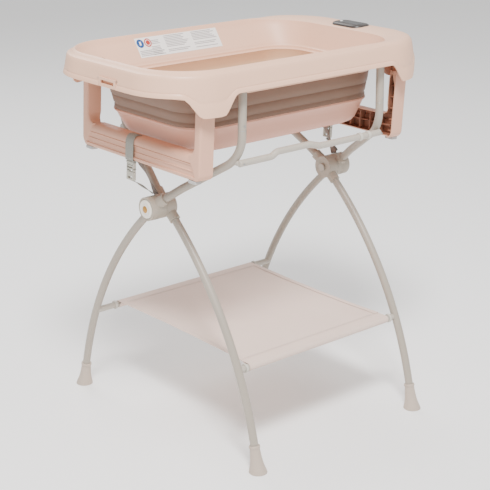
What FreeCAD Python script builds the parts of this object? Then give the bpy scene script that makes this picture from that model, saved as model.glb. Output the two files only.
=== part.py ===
"""Folding baby bath and changing stand: a collapsible bath on a folding scissor stand with a fabric shelf.

Units are millimetres. +X runs along the bath towards the head end, +Y towards the back, +Z up.
The origin is on the floor, under the middle of the bath.
"""
import FreeCAD
import Part
import math
import os

# ---------------------------------------------------------------- driving dimensions
# Stand
STAND_SHIFT = 20.0          # middle of the stand, along X from the middle of the bath
TUBE_D = 19.5               # outside diameter of the stand's steel tubes
TUBE_WALL = 1.5
OUTER_X = 295.0             # frame A tube plane, from the middle of the stand
INNER_X = 262.0             # frame B tube plane, from the middle of the stand
PIVOT_Z = 573.0             # height of the scissor pivots
FOOT_Y = 336.0              # where a leg's axis meets the floor
LEG_START_Y = 20.0          # where a leg's axis leaves its hub
LEG_START_DROP = 17.0
LEG_BOW_Y = 227.0           # a point half way down the leg's arc
LEG_BOW_Z = 309.0
ARM_TOP_X = 216.0           # the arms lean in to this plane under the rim
ARM_TOP_Y = 228.0
ARM_TOP_Z = 882.0
ARM_BEND_Z = 727.0
ARM_KNEE_Y = 78.0
ARM_KNEE_Z = 632.0
ARM_BEND_R = 85.0
KNEE_R = 130.0

# Hubs
HUB_D = 57.0
HUB_END_X = 321.0           # outer end of the hub, from the middle of the stand
HUB_START_X = 250.0
HUB_SPLIT_X = 279.0
HUB_GAP = 0.6
HUB_RECESS_D = 47.0
HUB_RECESS_DEPTH = 15.0
HUB_BUTTON_D = 45.0
HUB_BUTTON_PROUD = 3.0
HUB_BUTTON_DEPTH = 4.0      # how far the button sits inside its recess
HUB_BUTTON_ROUND = 1.5
HUB_PLATE_T = 2.0           # plate behind the button that holds the pin
EMBLEM_D = 13.0
EMBLEM_T = 0.8
PIN_HEAD_EXTRA = 10.0       # a pin's head is this much wider than the pin
PIN_HEAD_T = 4.0
PIN_PROUD = 2.0             # gap between a pin's head and its hub
PIN_SEAT = 1.5              # a pin's tip stops this far inside the plate
PRESS_FIT = 0.02            # a pressed pin is this much under its hole
PIN_D = 10.0
RUN_GAP = 0.05              # radial running clearance of a pin in its hole
SLEEVE_D = 27.0
SLEEVE_LENGTH = 20.0
SLEEVE_ROOT = 8.0            # the sleeve starts this far inside the hub
SPRING_WIRE = 1.2
SPRING_D = 22.0
SPRING_TURNS = 3

# Feet
FOOT_TOP_D = 24.0
FOOT_BOTTOM_D = 44.0
FOOT_HEIGHT = 58.0
FOOT_COLLAR_D = 27.0
FOOT_COLLAR_H = 6.0
FOOT_OVERRUN = 1.25          # the bell is made this much longer and cut flat at the floor
FOOT_OVERLAP = 0.5

# Rails and shelf
RAIL_D = 16.0
RAIL_Z = 714.0
RAIL_RISE = 9.0             # the front rail steps up here to carry the bath
RAIL_RISE_FROM = -92.0
RAIL_RISE_TO = 10.0
RAIL_RAMP = 16.0
RAIL_BEND_R = 18.0
COLLAR_D = 20.0
COLLAR_W = 8.0
COLLAR_AT = (150.0, 178.0)   # from the middle of the stand towards the head end
RAIL_SET_IN = 2.0            # the rails run this far inside the arms
RAIL_OVERRUN = 6.0           # and end this far past the arms' axes, trimmed to the arms
ARM_SPLAY = 3.0              # the arms lean in by this much above their bend
SHELF_Y = 263.0
SHELF_Z = 232.0
SHELF_TUBE_D = 16.0
FABRIC_T = 2.4
FABRIC_CLEAR = 0.4
FABRIC_INSET = 32.0         # the cloth stops this far short of the tube planes
SHELF_STOP_D = 22.0
SHELF_STOP_W = 6.0
SHELF_STOP_GAP = 6.0         # from the cloth to its stop

# Bath
RIM_HALF_L = 417.0
RIM_HALF_W = 257.0
RIM_R = 150.0
RIM_TOP = 938.0
RIM_SHOULDER = 10.0         # height of the rounded shoulder
SKIRT_Z = 883.0
SKIRT_DRAFT = 8.0
WALL = 3.0
TOP_PLATE = 4.0
OPEN_FOOT_X = -386.0        # bath opening at the top
OPEN_HEAD_X = 322.0
OPEN_HALF_W = 231.0
OPEN_R = 128.0
LEDGE_Z = 862.0             # bottom of the rigid inner wall
LEDGE_FOOT_X = -318.0
LEDGE_HEAD_X = 300.0
LEDGE_HALF_W = 186.0
LEDGE_R = 82.0
LEDGE_LIP = 8.0
BELLOWS_T = 1.8
BELLOWS_GAP = 0.4
BASIN_TOP = 792.0
BASIN_Z = 735.0
BASIN_TOP_FOOT_X = -297.0
BASIN_TOP_HEAD_X = 284.0
BASIN_TOP_HALF_W = 178.0
BASIN_BOTTOM_FOOT_X = -271.0
BASIN_BOTTOM_HEAD_X = 262.0
BASIN_BOTTOM_HALF_W = 163.0
BASIN_R = 78.0
FOOT_RING_H = 5.0
FOOT_RING_W = 12.0
FOOT_RING_INSET = 16.0
DRAIN_X = -200.0
DRAIN_D = 38.0
SEAT_PROUD = 2.0             # the seal stands this far below the floor
SEAT_FLANGE_W = 4.0
SEAT_FLANGE_T = 1.6
SEAT_FIT = 0.1
PLUG_TAPER_LOW = 6.0         # the plug's hole is this much inside the drain at the bottom
PLUG_TAPER_TOP = 3.0
PLUG_GAP = 0.35
PLUG_CAP_T = 2.0
PLUG_CAP_EXTRA = 1.0
PLUG_TAB_H = 17.0
PLUG_TAB_HALF_W = 9.0
PLUG_TAB_HALF_T = 2.0
PLUG_EYE_D = 8.0
PLUG_EYE_UP = 10.0

# Bath end legs
LEG_PIVOT_FOOT_X = -296.0
LEG_PIVOT_HEAD_X = 316.0
LEG_PIVOT_Z = 858.0
LEG_HALF_W = 228.0
POST_W = 22.0
POST_DEPTH = 34.0
POST_TOP_R = 17.0
LEG_BOTTOM_Z = 690.0
CROSSBAR_H = 57.0
CROSSBAR_IN = 6.0           # the crossbar reaches this far inside the pivot plane
LEG_WALL = 3.0
RIB_PITCH = 38.0
RIB_T = 2.2
LEG_LEAN_FOOT = 3.0         # degrees outwards at the foot end
LEG_LEAN_HEAD = -4.0        # degrees inwards at the head end
LEG_CHAMFER = 14.0
LEG_PIN_D = 8.0
LEG_WINDOW_R = 24.0
LEG_PIN_PROUD = 2.0
TRIM_DEPTH = 1.5             # the long recess on a crossbar's outer face
TRIM_INSET = 8.0
TRIM_UP = 10.0
TRIM_DOWN = 20.0
POST_CELL_UP = 4.0           # the posts' cells start this far above the crossbar
POST_CELL_DOWN = 5.0         # and stop this far below the knuckle
PAD_SET_IN = 1.0
LOBE_BOTTOM_Z = 838.0
LOBE_HALF_BOTTOM = 26.0
LOBE_HALF_TOP = 62.0
LOBE_DEPTH = 80.0            # how far in from the side a lobe reaches
HINGE_PLATE_T = 5.0
HINGE_PLATE_HALF = 24.0
HINGE_PLATE_DOWN = 12.0
SIDE_PLAY = 1.0
PAD_L = 26.0
PAD_W = 18.0
PAD_H = 8.0

# Straps and buckles
STRAP_Y = 30.0
STRAP_W = 30.0
STRAP_T = 1.6
LOOP_GAP = 0.5               # between the loop and its crossbar
STRAP_TRIM = 8.0             # the stand's straps are this much narrower than the loop
STRAP_SET_OUT = 4.0          # the front strap starts this far outside the tube plane
STRAP_CLEAR = 2.0           # the stand's straps start this far above their hub
STRAP_PITCH = 9.0           # from the front strap to the back strap, along X
BUCKLE_W = 26.0
BUCKLE_T = 9.0
SOCKET_H = 26.0
CLIP_H = 20.0
PRONG_W = 4.0
PRONG_IN = 4.2              # prongs are set in this far from the buckle's edges
SOCKET_WALL = 1.6
PRONG_L = 14.0
PRONG_INSET = 2.5
MOUTH_CLEAR = 2.0
CLIP_BAR = 4.0               # the bar that the strap is sewn round
CLIP_SLOT = 5.0
BUCKLE_GAP = 0.5
LOOP_UNDER = LEG_BOTTOM_Z - LOOP_GAP - STRAP_T   # underside of the loop, where the buckle hangs

# Display and hook
DISPLAY_X = 360.0
DISPLAY_L = 85.0
DISPLAY_W = 40.0
DISPLAY_PROUD = 3.0
DISPLAY_DEPTH = 15.0
LENS_L = 72.0
LENS_W = 29.0
LENS_T = 1.5
LENS_Y = -4.0                # the window sits to one side of the key
LENS_R = 10.0
LENS_PROUD = 0.4
DISPLAY_R = 14.0
DISPLAY_FIT = 0.3
POCKET_DEPTH = 12.0
POCKET_CLEAR = 4.0           # room under the case's own depth
KEY_D = 8.0
KEY_GAP = 0.3
KEY_INSET = 8.0
KEY_HOLE_DEPTH = 3.0
KEY_H = 2.4
KEY_SEAT = 1.4
HOOK_Y = -24.0
HOOK_W = 66.0
HOOK_BAR = 7.0
HOOK_DROP = 15.0
HOOK_T = 4.0
HOOK_PIN_D = 2.0
HOOK_NOTCH_DEPTH = 12.0
HOOK_GAP = 1.2
HOOK_BRIDGE = 6.0            # the bar above the hook's eye
HOOK_AXLE_DOWN = 4.0
HOOK_AXLE_GRIP = 4.0
REACH = 120.0                # past any piece that a cutting box trims
SLIT = 1.0                   # how far a cut runs past a face

V = FreeCAD.Vector
SIDES = {"left": -1, "right": 1}
ENDS = {"foot": -1, "head": 1}
OUT = "parts"


# ---------------------------------------------------------------- small helpers
def save(name, shape):
    """Write one node."""
    shape.exportStep(os.path.join(OUT, name + ".step"))


def box(x0, x1, y0, y1, z0, z1):
    """An upright box between two corners."""
    return Part.makeBox(x1 - x0, y1 - y0, z1 - z0, V(x0, y0, z0))


def rod(start, end, diameter):
    """A round bar from one point to another."""
    axis = end - start
    return Part.makeCylinder(diameter / 2, axis.Length, start, axis)


def x_rod(x0, x1, y, z, diameter):
    """A round bar along X."""
    return rod(V(min(x0, x1), y, z), V(max(x0, x1), y, z), diameter)


def fuse(shapes):
    """Join overlapping solids into one."""
    joined = shapes[0].multiFuse(shapes[1:]) if len(shapes) > 1 else shapes[0]
    return joined.removeSplitter()


def group(shapes):
    """Keep separate solids in one node."""
    return Part.makeCompound(shapes)


def rounded_outline(x0, x1, half_w, radius, z):
    """A rounded rectangle at height z, as a closed wire of four lines and four arcs."""
    y0, y1 = -half_w, half_w
    turn = radius * (1 - math.sqrt(0.5))
    corners = [
        (V(x1 - radius, y0, z), V(x1 - turn, y0 + turn, z), V(x1, y0 + radius, z)),
        (V(x1, y1 - radius, z), V(x1 - turn, y1 - turn, z), V(x1 - radius, y1, z)),
        (V(x0 + radius, y1, z), V(x0 + turn, y1 - turn, z), V(x0, y1 - radius, z)),
        (V(x0, y0 + radius, z), V(x0 + turn, y0 + turn, z), V(x0 + radius, y0, z)),
    ]
    edges = []
    for i, (start, middle, end) in enumerate(corners):
        edges.append(Part.Arc(start, middle, end).toShape())
        edges.append(Part.LineSegment(end, corners[(i + 1) % 4][0]).toShape())
    return Part.Wire(edges)


def loft(wires):
    """A closed solid with straight walls between outlines."""
    return Part.makeLoft(wires, True, True)


def tray(levels, inset=0.0):
    """A solid through rounded outlines, each (z, x0, x1, half width, radius), shrunk by inset."""
    return loft([rounded_outline(x0 + inset, x1 - inset, half_w - inset, radius - inset, z)
                 for z, x0, x1, half_w, radius in levels])


def between(level_a, level_b, z):
    """The level at height z on the straight wall through two levels."""
    share = (z - level_a[0]) / (level_b[0] - level_a[0])
    return (z,) + tuple(a + (b - a) * share for a, b in zip(level_a[1:], level_b[1:]))


def rounded_path(points, radii):
    """Straight runs through points, joined by tangent arcs."""
    edges = []
    start = points[0]
    for before, corner, after, radius in zip(points, points[1:], points[2:], radii):
        into = (corner - before).normalize()
        out = (after - corner).normalize()
        half_turn = into.getAngle(out) / 2
        trim = radius * math.tan(half_turn)
        arc_start = corner - into * trim
        arc_end = corner + out * trim
        to_centre = (out - into).normalize()
        centre = corner + to_centre * (radius / math.cos(half_turn))
        edges.append(Part.LineSegment(start, arc_start).toShape())
        edges.append(Part.Arc(arc_start, centre - to_centre * radius, arc_end).toShape())
        start = arc_end
    edges.append(Part.LineSegment(start, points[-1]).toShape())
    return Part.Wire(edges)


def sweep(path, radius):
    """A round bar along a path."""
    start = path.Edges[0].valueAt(path.Edges[0].FirstParameter)
    along = path.Edges[0].tangentAt(path.Edges[0].FirstParameter)
    ring = Part.Wire([Part.makeCircle(radius, start, along)])
    return path.makePipeShell([ring], True, False)


def tube(path, diameter, wall):
    """A hollow tube along a path."""
    return sweep(path, diameter / 2).cut(sweep(path, diameter / 2 - wall))


def side_x(side, distance):
    """An X position on the stand, measured from its middle towards one side."""
    return STAND_SHIFT + SIDES[side] * distance


# ---------------------------------------------------------------- stand
def leg_path(x, y_sign):
    """One lower leg: a single arc from its hub to the floor."""
    start = V(x, y_sign * LEG_START_Y, PIVOT_Z - LEG_START_DROP)
    bow = V(x, y_sign * LEG_BOW_Y, LEG_BOW_Z)
    end = V(x, y_sign * FOOT_Y, 0)
    return Part.Wire([Part.Arc(start, bow, end).toShape()])


def leg_frame_at(x, y_sign, height):
    """The point and direction of a leg's axis at a height."""
    edge = leg_path(x, y_sign).Edges[0]
    low, high = edge.FirstParameter, edge.LastParameter
    for _ in range(40):
        middle = (low + high) / 2
        if edge.valueAt(middle).z > height:
            low = middle
        else:
            high = middle
    return edge.valueAt(low), edge.tangentAt(low)


def arm_points(side, plane_x, y_sign):
    """The upper arm's corners: out of the hub, a knee, the bend, and up to the rim."""
    top = V(side_x(side, ARM_TOP_X), y_sign * ARM_TOP_Y, ARM_TOP_Z)
    bend = V(side_x(side, ARM_TOP_X + ARM_SPLAY), y_sign * ARM_TOP_Y, ARM_BEND_Z)
    share = (ARM_KNEE_Y - LEG_START_Y) / (ARM_TOP_Y - LEG_START_Y)
    knee_x = plane_x + (ARM_TOP_X - plane_x) * share
    knee = V(side_x(side, knee_x), y_sign * ARM_KNEE_Y, ARM_KNEE_Z)
    start = V(side_x(side, plane_x), y_sign * LEG_START_Y, PIVOT_Z + LEG_START_DROP)
    return [start, knee, bend, top]


def arm_tube(side, plane_x, y_sign):
    """One upper arm."""
    path = rounded_path(arm_points(side, plane_x, y_sign), [KNEE_R, ARM_BEND_R])
    return tube(path, TUBE_D, TUBE_WALL)


def leg_tube(side, plane_x, y_sign):
    """One lower leg, open into its hub and ending inside its foot."""
    whole = tube(leg_path(side_x(side, plane_x), y_sign), TUBE_D, TUBE_WALL)
    x = side_x(side, plane_x)
    below = box(x - REACH, x + REACH, -FOOT_Y - REACH, FOOT_Y + REACH, -REACH, FOOT_COLLAR_H)
    return whole.cut(below)


def foot(side, plane_x, y_sign):
    """A flared foot around the end of a leg, flat on the floor."""
    x = side_x(side, plane_x)
    point, down = leg_frame_at(x, y_sign, FOOT_HEIGHT)
    top = point - down * FOOT_COLLAR_H
    length = FOOT_HEIGHT / abs(down.z)
    bell = Part.makeCone(FOOT_TOP_D / 2, FOOT_BOTTOM_D / 2, length * FOOT_OVERRUN, point, down)
    collar = Part.makeCylinder(FOOT_COLLAR_D / 2, FOOT_COLLAR_H + FOOT_OVERLAP, top, down)
    body = fuse([bell, collar])
    body = body.cut(box(x - REACH, x + REACH, -FOOT_Y - REACH, FOOT_Y + REACH, -REACH, 0))
    solid_leg = sweep(leg_path(x, y_sign), TUBE_D / 2)
    room = solid_leg.cut(box(x - REACH, x + REACH, -FOOT_Y - REACH, FOOT_Y + REACH, -REACH, FOOT_COLLAR_H))
    return body.cut(room)


def sleeve(start, through):
    """A short socket on a hub that holds the end of a tube."""
    along = (through - start).normalize()
    return rod(start - along * SLEEVE_ROOT, start + along * SLEEVE_LENGTH, SLEEVE_D)


def hub_half(side, plane_x, x_from, x_to, arm_sign, leg_sign, pin_hole):
    """Half of a scissor hub: a drum with a socket for one arm and one leg."""
    sign = SIDES[side]
    x_a = side_x(side, x_from)
    x_b = side_x(side, x_to)
    drum = x_rod(x_a, x_b, 0, PIVOT_Z, HUB_D)
    arm = arm_points(side, plane_x, arm_sign)
    leg_edge = leg_path(side_x(side, plane_x), leg_sign).Edges[0]
    leg_start = leg_edge.valueAt(leg_edge.FirstParameter)
    leg_next = leg_start + leg_edge.tangentAt(leg_edge.FirstParameter)
    body = fuse([drum, sleeve(arm[0], arm[1]), sleeve(leg_start, leg_next)])
    limit = box(min(x_a, x_b), max(x_a, x_b), -REACH, REACH, PIVOT_Z - REACH, PIVOT_Z + REACH)
    body = body.common(limit)
    arm_room = sweep(rounded_path(arm, [KNEE_R, ARM_BEND_R]), TUBE_D / 2)
    leg_room = sweep(leg_path(side_x(side, plane_x), leg_sign), TUBE_D / 2)
    body = body.cut(arm_room).cut(leg_room)
    bore = x_rod(x_a - sign * SLIT, x_b + sign * SLIT, 0, PIVOT_Z, pin_hole)
    return body.cut(bore)


def outer_hub(side):
    """The hub half on frame A, with the recess for its release button."""
    sign = SIDES[side]
    body = hub_half(side, OUTER_X, HUB_SPLIT_X + HUB_GAP / 2, HUB_END_X, -1, 1, PIN_D)
    end = side_x(side, HUB_END_X)
    recess = x_rod(end - sign * HUB_RECESS_DEPTH, end + sign, 0, PIVOT_Z, HUB_RECESS_D)
    back = end - sign * HUB_RECESS_DEPTH
    floor = x_rod(back - sign * HUB_PLATE_T, back, 0, PIVOT_Z, HUB_RECESS_D)
    plate = floor.cut(x_rod(back - sign * REACH, end, 0, PIVOT_Z, PIN_D))
    return fuse([body.cut(recess), plate])


def hub_button(side):
    """The round release button in the outer end of a hub."""
    sign = SIDES[side]
    end = side_x(side, HUB_END_X)
    face = end + sign * HUB_BUTTON_PROUD
    disc = x_rod(end - sign * HUB_BUTTON_DEPTH, face, 0, PIVOT_Z, HUB_BUTTON_D)
    edge = [e for e in disc.Edges if abs(e.CenterOfMass.x - face) < 0.1 and e.Closed]
    return disc.makeFillet(HUB_BUTTON_ROUND, edge)


def hub_emblem(side):
    """A plain raised disc in the middle of the button."""
    sign = SIDES[side]
    face = side_x(side, HUB_END_X) + sign * HUB_BUTTON_PROUD
    return x_rod(face, face + sign * EMBLEM_T, 0, PIVOT_Z, EMBLEM_D)


def hub_spring(side):
    """The spring that pushes the button out, drawn as stacked rings."""
    sign = SIDES[side]
    end = side_x(side, HUB_END_X)
    x_back = end - sign * (HUB_RECESS_DEPTH - SPRING_WIRE)
    x_front = end - sign * (HUB_BUTTON_DEPTH + SPRING_WIRE)
    rings = []
    for i in range(SPRING_TURNS):
        x = x_back + (x_front - x_back) * i / (SPRING_TURNS - 1)
        rings.append(Part.makeTorus(SPRING_D / 2, SPRING_WIRE / 2, V(x, 0, PIVOT_Z), V(1, 0, 0)))
    return group(rings)


def hub_pin(side):
    """The steel pin that both halves of a hub turn on."""
    sign = SIDES[side]
    inner = side_x(side, HUB_START_X - PIN_PROUD)
    outer = side_x(side, HUB_END_X - HUB_RECESS_DEPTH + PIN_SEAT)
    head = x_rod(inner - sign * PIN_HEAD_T, inner, 0, PIVOT_Z, PIN_D + PIN_HEAD_EXTRA)
    return fuse([x_rod(inner, outer, 0, PIVOT_Z, PIN_D - PRESS_FIT), head])


def build_stand():
    """Both scissor frames, their hubs, feet, rails and shelf."""
    hole = PIN_D + 2 * RUN_GAP
    for side in SIDES:
        save("back_leg_" + side, leg_tube(side, OUTER_X, 1))
        save("front_leg_" + side, leg_tube(side, INNER_X, -1))
        save("front_arm_" + side, arm_tube(side, OUTER_X, -1))
        save("back_arm_" + side, arm_tube(side, INNER_X, 1))
        save("hub_outer_" + side, outer_hub(side))
        save("hub_inner_" + side,
             hub_half(side, INNER_X, HUB_START_X, HUB_SPLIT_X - HUB_GAP / 2, 1, -1, hole))
        save("hub_button_" + side, hub_button(side))
        save("hub_emblem_" + side, hub_emblem(side))
        save("hub_spring_" + side, hub_spring(side))
        save("hub_pin_" + side, hub_pin(side))
        save("back_foot_" + side, foot(side, OUTER_X, 1))
        save("front_foot_" + side, foot(side, INNER_X, -1))
    save("front_rail", front_rail())
    save("back_rail", straight_rail())
    save("rail_collars", rail_collars())
    save("shelf_tube_back", shelf_tube(OUTER_X, 1))
    save("shelf_tube_front", shelf_tube(INNER_X, -1))
    save("shelf_stops_back", shelf_stops(OUTER_X, 1))
    save("shelf_stops_front", shelf_stops(INNER_X, -1))
    save("shelf_fabric", shelf_fabric())


def arm_room(plane_x, y_sign):
    """The space that a pair of arms fills."""
    paths = [rounded_path(arm_points(side, plane_x, y_sign), [KNEE_R, ARM_BEND_R]) for side in SIDES]
    return fuse([sweep(path, TUBE_D / 2) for path in paths])


def rail_span():
    """The X positions of the arm axes where a rail meets them."""
    reach = ARM_TOP_X + RAIL_OVERRUN
    return side_x("left", reach), side_x("right", reach)


def front_rail():
    """The front rail: a bent bar that steps up in the middle to carry the bath."""
    x0, x1 = rail_span()
    y = -(ARM_TOP_Y - RAIL_SET_IN)
    high = RAIL_Z + RAIL_RISE
    points = [V(x0, y, RAIL_Z), V(RAIL_RISE_FROM - RAIL_RAMP, y, RAIL_Z), V(RAIL_RISE_FROM, y, high),
              V(RAIL_RISE_TO, y, high), V(RAIL_RISE_TO + 2 * RAIL_RAMP, y, RAIL_Z), V(x1, y, RAIL_Z)]
    bar = tube(rounded_path(points, [RAIL_BEND_R] * 4), RAIL_D, TUBE_WALL)
    return bar.cut(arm_room(OUTER_X, -1))


def straight_rail():
    """The back rail."""
    x0, x1 = rail_span()
    y = ARM_TOP_Y - RAIL_SET_IN
    bar = x_rod(x0, x1, y, RAIL_Z, RAIL_D).cut(x_rod(x0, x1, y, RAIL_Z, RAIL_D - 2 * TUBE_WALL))
    return bar.cut(arm_room(INNER_X, 1))


def rail_collars():
    """Two plastic collars on the front rail near the head end."""
    collars = []
    y = -(ARM_TOP_Y - RAIL_SET_IN)
    for distance in COLLAR_AT:
        x = side_x("right", distance)
        ring = x_rod(x, x + COLLAR_W, y, RAIL_Z, COLLAR_D)
        bore = x_rod(x - SLIT, x + COLLAR_W + SLIT, y, RAIL_Z, RAIL_D)
        collars.append(ring.cut(bore))
    return group(collars)


def shelf_tube(plane_x, y_sign):
    """A cross tube between a pair of lower legs."""
    y = y_sign * SHELF_Y
    whole = x_rod(side_x("left", plane_x), side_x("right", plane_x), y, SHELF_Z, SHELF_TUBE_D)
    legs = [sweep(leg_path(side_x(side, plane_x), y_sign), TUBE_D / 2) for side in SIDES]
    inside = x_rod(side_x("left", plane_x), side_x("right", plane_x), y, SHELF_Z, SHELF_TUBE_D - 2 * TUBE_WALL)
    return whole.cut(inside).cut(fuse(legs))


def shelf_stops(plane_x, y_sign):
    """A pair of rings that stop the cloth sliding along its tube."""
    y = y_sign * SHELF_Y
    rings = []
    for side in SIDES:
        x = side_x(side, INNER_X - FABRIC_INSET + SHELF_STOP_GAP)
        far = x + SIDES[side] * SHELF_STOP_W
        ring = x_rod(x, far, y, SHELF_Z, SHELF_STOP_D)
        bore = x_rod(x - REACH, x + REACH, y, SHELF_Z, SHELF_TUBE_D)
        rings.append(ring.cut(bore))
    return group(rings)


def shelf_fabric():
    """The cloth shelf: one sheet with a sleeve round each cross tube."""
    x0 = side_x("left", INNER_X - FABRIC_INSET)
    x1 = side_x("right", INNER_X - FABRIC_INSET)
    inner_d = SHELF_TUBE_D + 2 * FABRIC_CLEAR
    outer_d = inner_d + 2 * FABRIC_T
    top = SHELF_Z + outer_d / 2
    sheet = box(x0, x1, -SHELF_Y, SHELF_Y, top - FABRIC_T, top)
    sleeves = [x_rod(x0, x1, y, SHELF_Z, outer_d) for y in (-SHELF_Y, SHELF_Y)]
    bores = [x_rod(x0 - SLIT, x1 + SLIT, y, SHELF_Z, inner_d) for y in (-SHELF_Y, SHELF_Y)]
    return fuse([sheet] + sleeves).cut(fuse(bores))


# ---------------------------------------------------------------- bath
RIM_LEVELS = [
    (LOBE_BOTTOM_Z, -RIM_HALF_L, RIM_HALF_L, RIM_HALF_W, RIM_R),
    (SKIRT_Z, -RIM_HALF_L, RIM_HALF_L, RIM_HALF_W, RIM_R),
    (RIM_TOP - RIM_SHOULDER, -RIM_HALF_L + SKIRT_DRAFT, RIM_HALF_L - SKIRT_DRAFT,
     RIM_HALF_W - SKIRT_DRAFT, RIM_R - SKIRT_DRAFT),
    (RIM_TOP, -RIM_HALF_L + 2 * SKIRT_DRAFT, RIM_HALF_L - 2 * SKIRT_DRAFT,
     RIM_HALF_W - 2 * SKIRT_DRAFT, RIM_R - 2 * SKIRT_DRAFT),
]
OPENING_TOP = (RIM_TOP, OPEN_FOOT_X, OPEN_HEAD_X, OPEN_HALF_W, OPEN_R)
OPENING_LEDGE = (LEDGE_Z, LEDGE_FOOT_X, LEDGE_HEAD_X, LEDGE_HALF_W, LEDGE_R)
BASIN_TOP_LEVEL = (BASIN_TOP, BASIN_TOP_FOOT_X, BASIN_TOP_HEAD_X, BASIN_TOP_HALF_W, BASIN_R)
BASIN_LOW_LEVEL = (BASIN_Z, BASIN_BOTTOM_FOOT_X, BASIN_BOTTOM_HEAD_X, BASIN_BOTTOM_HALF_W, BASIN_R)


def leg_pivot_x(end):
    """The X position of an end leg's pivots."""
    return LEG_PIVOT_HEAD_X if end == "head" else LEG_PIVOT_FOOT_X


def lobe_profile(end, y_sign):
    """The lobe of the skirt that covers one leg pivot, as a prism through the side wall."""
    x = leg_pivot_x(end)
    y = y_sign * (RIM_HALF_W - LOBE_DEPTH)
    points = [V(x - LOBE_HALF_TOP, y, SKIRT_Z + SLIT), V(x - LOBE_HALF_BOTTOM, y, LOBE_BOTTOM_Z),
              V(x + LOBE_HALF_BOTTOM, y, LOBE_BOTTOM_Z), V(x + LOBE_HALF_TOP, y, SKIRT_Z + SLIT)]
    face = Part.Face(Part.makePolygon(points + [points[0]]))
    return face.extrude(V(0, y_sign * REACH, 0))


def rim_skin():
    """The skirt with its four lobes and the top band, before the opening is cut."""
    outside = tray(RIM_LEVELS)
    inner_top = between(RIM_LEVELS[2], RIM_LEVELS[3], RIM_TOP - TOP_PLATE)
    inside = tray([(LOBE_BOTTOM_Z - SLIT,) + RIM_LEVELS[0][1:]] + RIM_LEVELS[1:3] + [inner_top], WALL)
    skin = outside.cut(inside)
    big = 2 * RIM_HALF_L
    below = box(-big, big, -big, big, LOBE_BOTTOM_Z - REACH, SKIRT_Z)
    lobes = [lobe_profile(end, y_sign) for end in ENDS for y_sign in (-1, 1)]
    return skin.cut(below.cut(fuse(lobes)))


def hinge_plate(end, y_sign):
    """The inner bracket of one leg pivot, hanging from the top band."""
    x = leg_pivot_x(end)
    outer = LEG_HALF_W - POST_W - SIDE_PLAY
    y_a = y_sign * outer
    y_b = y_sign * (outer - HINGE_PLATE_T)
    low = LEG_PIVOT_Z - HINGE_PLATE_DOWN
    return box(x - HINGE_PLATE_HALF, x + HINGE_PLATE_HALF, min(y_a, y_b), max(y_a, y_b), low, RIM_TOP - SLIT)


def leg_pin_axis(end, y_sign, diameter, y_from, y_to):
    """A round bar along Y on a leg pivot."""
    x = leg_pivot_x(end)
    return rod(V(x, y_sign * y_from, LEG_PIVOT_Z), V(x, y_sign * y_to, LEG_PIVOT_Z), diameter)


def opening_block(grown):
    """The tapered opening of the bath as a solid, grown outwards by a wall."""
    return tray([OPENING_LEDGE, OPENING_TOP], -grown)


def tub_rim():
    """The rim: skirt, top band, rigid inner wall and the ledge that the bellows hang from."""
    top_level = between(OPENING_LEDGE, OPENING_TOP, RIM_TOP + SLIT)
    wall = opening_block(WALL)
    plates = [hinge_plate(end, y_sign) for end in ENDS for y_sign in (-1, 1)]
    body = fuse([rim_skin(), wall] + plates)
    body = body.cut(tray([OPENING_LEDGE, top_level]))
    lip_outer = tray([OPENING_LEDGE, between(OPENING_LEDGE, OPENING_TOP, LEDGE_Z + WALL)], -WALL)
    lip_levels = [(LEDGE_Z - SLIT,) + OPENING_LEDGE[1:], (LEDGE_Z + WALL + SLIT,) + OPENING_LEDGE[1:]]
    lip_inner = tray(lip_levels, LEDGE_LIP)
    body = fuse([body, lip_outer.cut(lip_inner)])
    hole_from = LEG_HALF_W - POST_W - 2 * HINGE_PLATE_T
    hole_to = LEG_HALF_W + HINGE_PLATE_T
    holes = [leg_pin_axis(end, y_sign, LEG_PIN_D + 2 * RUN_GAP, hole_from, hole_to)
             for end in ENDS for y_sign in (-1, 1)]
    body = body.cut(fuse(holes))
    pocket = rounded_outline(DISPLAY_X - DISPLAY_W / 2, DISPLAY_X + DISPLAY_W / 2, DISPLAY_L / 2, DISPLAY_R,
                             RIM_TOP - POCKET_DEPTH)
    body = body.cut(Part.Face(pocket).extrude(V(0, 0, 2 * POCKET_DEPTH)))
    return body.cut(hook_notch()).cut(hook_axle(HOOK_PIN_D + 2 * RUN_GAP))


def hook_notch():
    """The notch in the foot end's skirt that the hang-up hook lies in."""
    return box(-RIM_HALF_L - SLIT, -RIM_HALF_L + HOOK_NOTCH_DEPTH, HOOK_Y - HOOK_W / 2, HOOK_Y + HOOK_W / 2,
               SKIRT_Z - SLIT, SKIRT_Z + HOOK_DROP + HOOK_BAR)


def hang_hook():
    """The bar that folds out of the foot end to hang the bath up."""
    x0 = -RIM_HALF_L + SLIT
    y0 = HOOK_Y - HOOK_W / 2 + HOOK_GAP
    y1 = HOOK_Y + HOOK_W / 2 - HOOK_GAP
    z1 = SKIRT_Z + HOOK_DROP + HOOK_BAR - HOOK_GAP
    plate = box(x0, x0 + HOOK_T, y0, y1, SKIRT_Z, z1)
    window = box(x0 - SLIT, x0 + HOOK_T + SLIT, y0 + HOOK_BAR, y1 - HOOK_BAR, SKIRT_Z + HOOK_BAR,
                 z1 - HOOK_BRIDGE)
    return plate.cut(window).cut(hook_axle(HOOK_PIN_D + 2 * RUN_GAP))


def hook_axle(diameter):
    """A round bar on the hook's axis, into the skirt each side of its notch."""
    x = -RIM_HALF_L + SLIT + HOOK_T / 2
    z = SKIRT_Z + HOOK_DROP + HOOK_BAR - HOOK_AXLE_DOWN
    reach = HOOK_W / 2 + HOOK_AXLE_GRIP
    return rod(V(x, HOOK_Y - reach, z), V(x, HOOK_Y + reach, z), diameter)


def hook_pin():
    """The pin that the hook swings on."""
    return hook_axle(HOOK_PIN_D)


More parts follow.
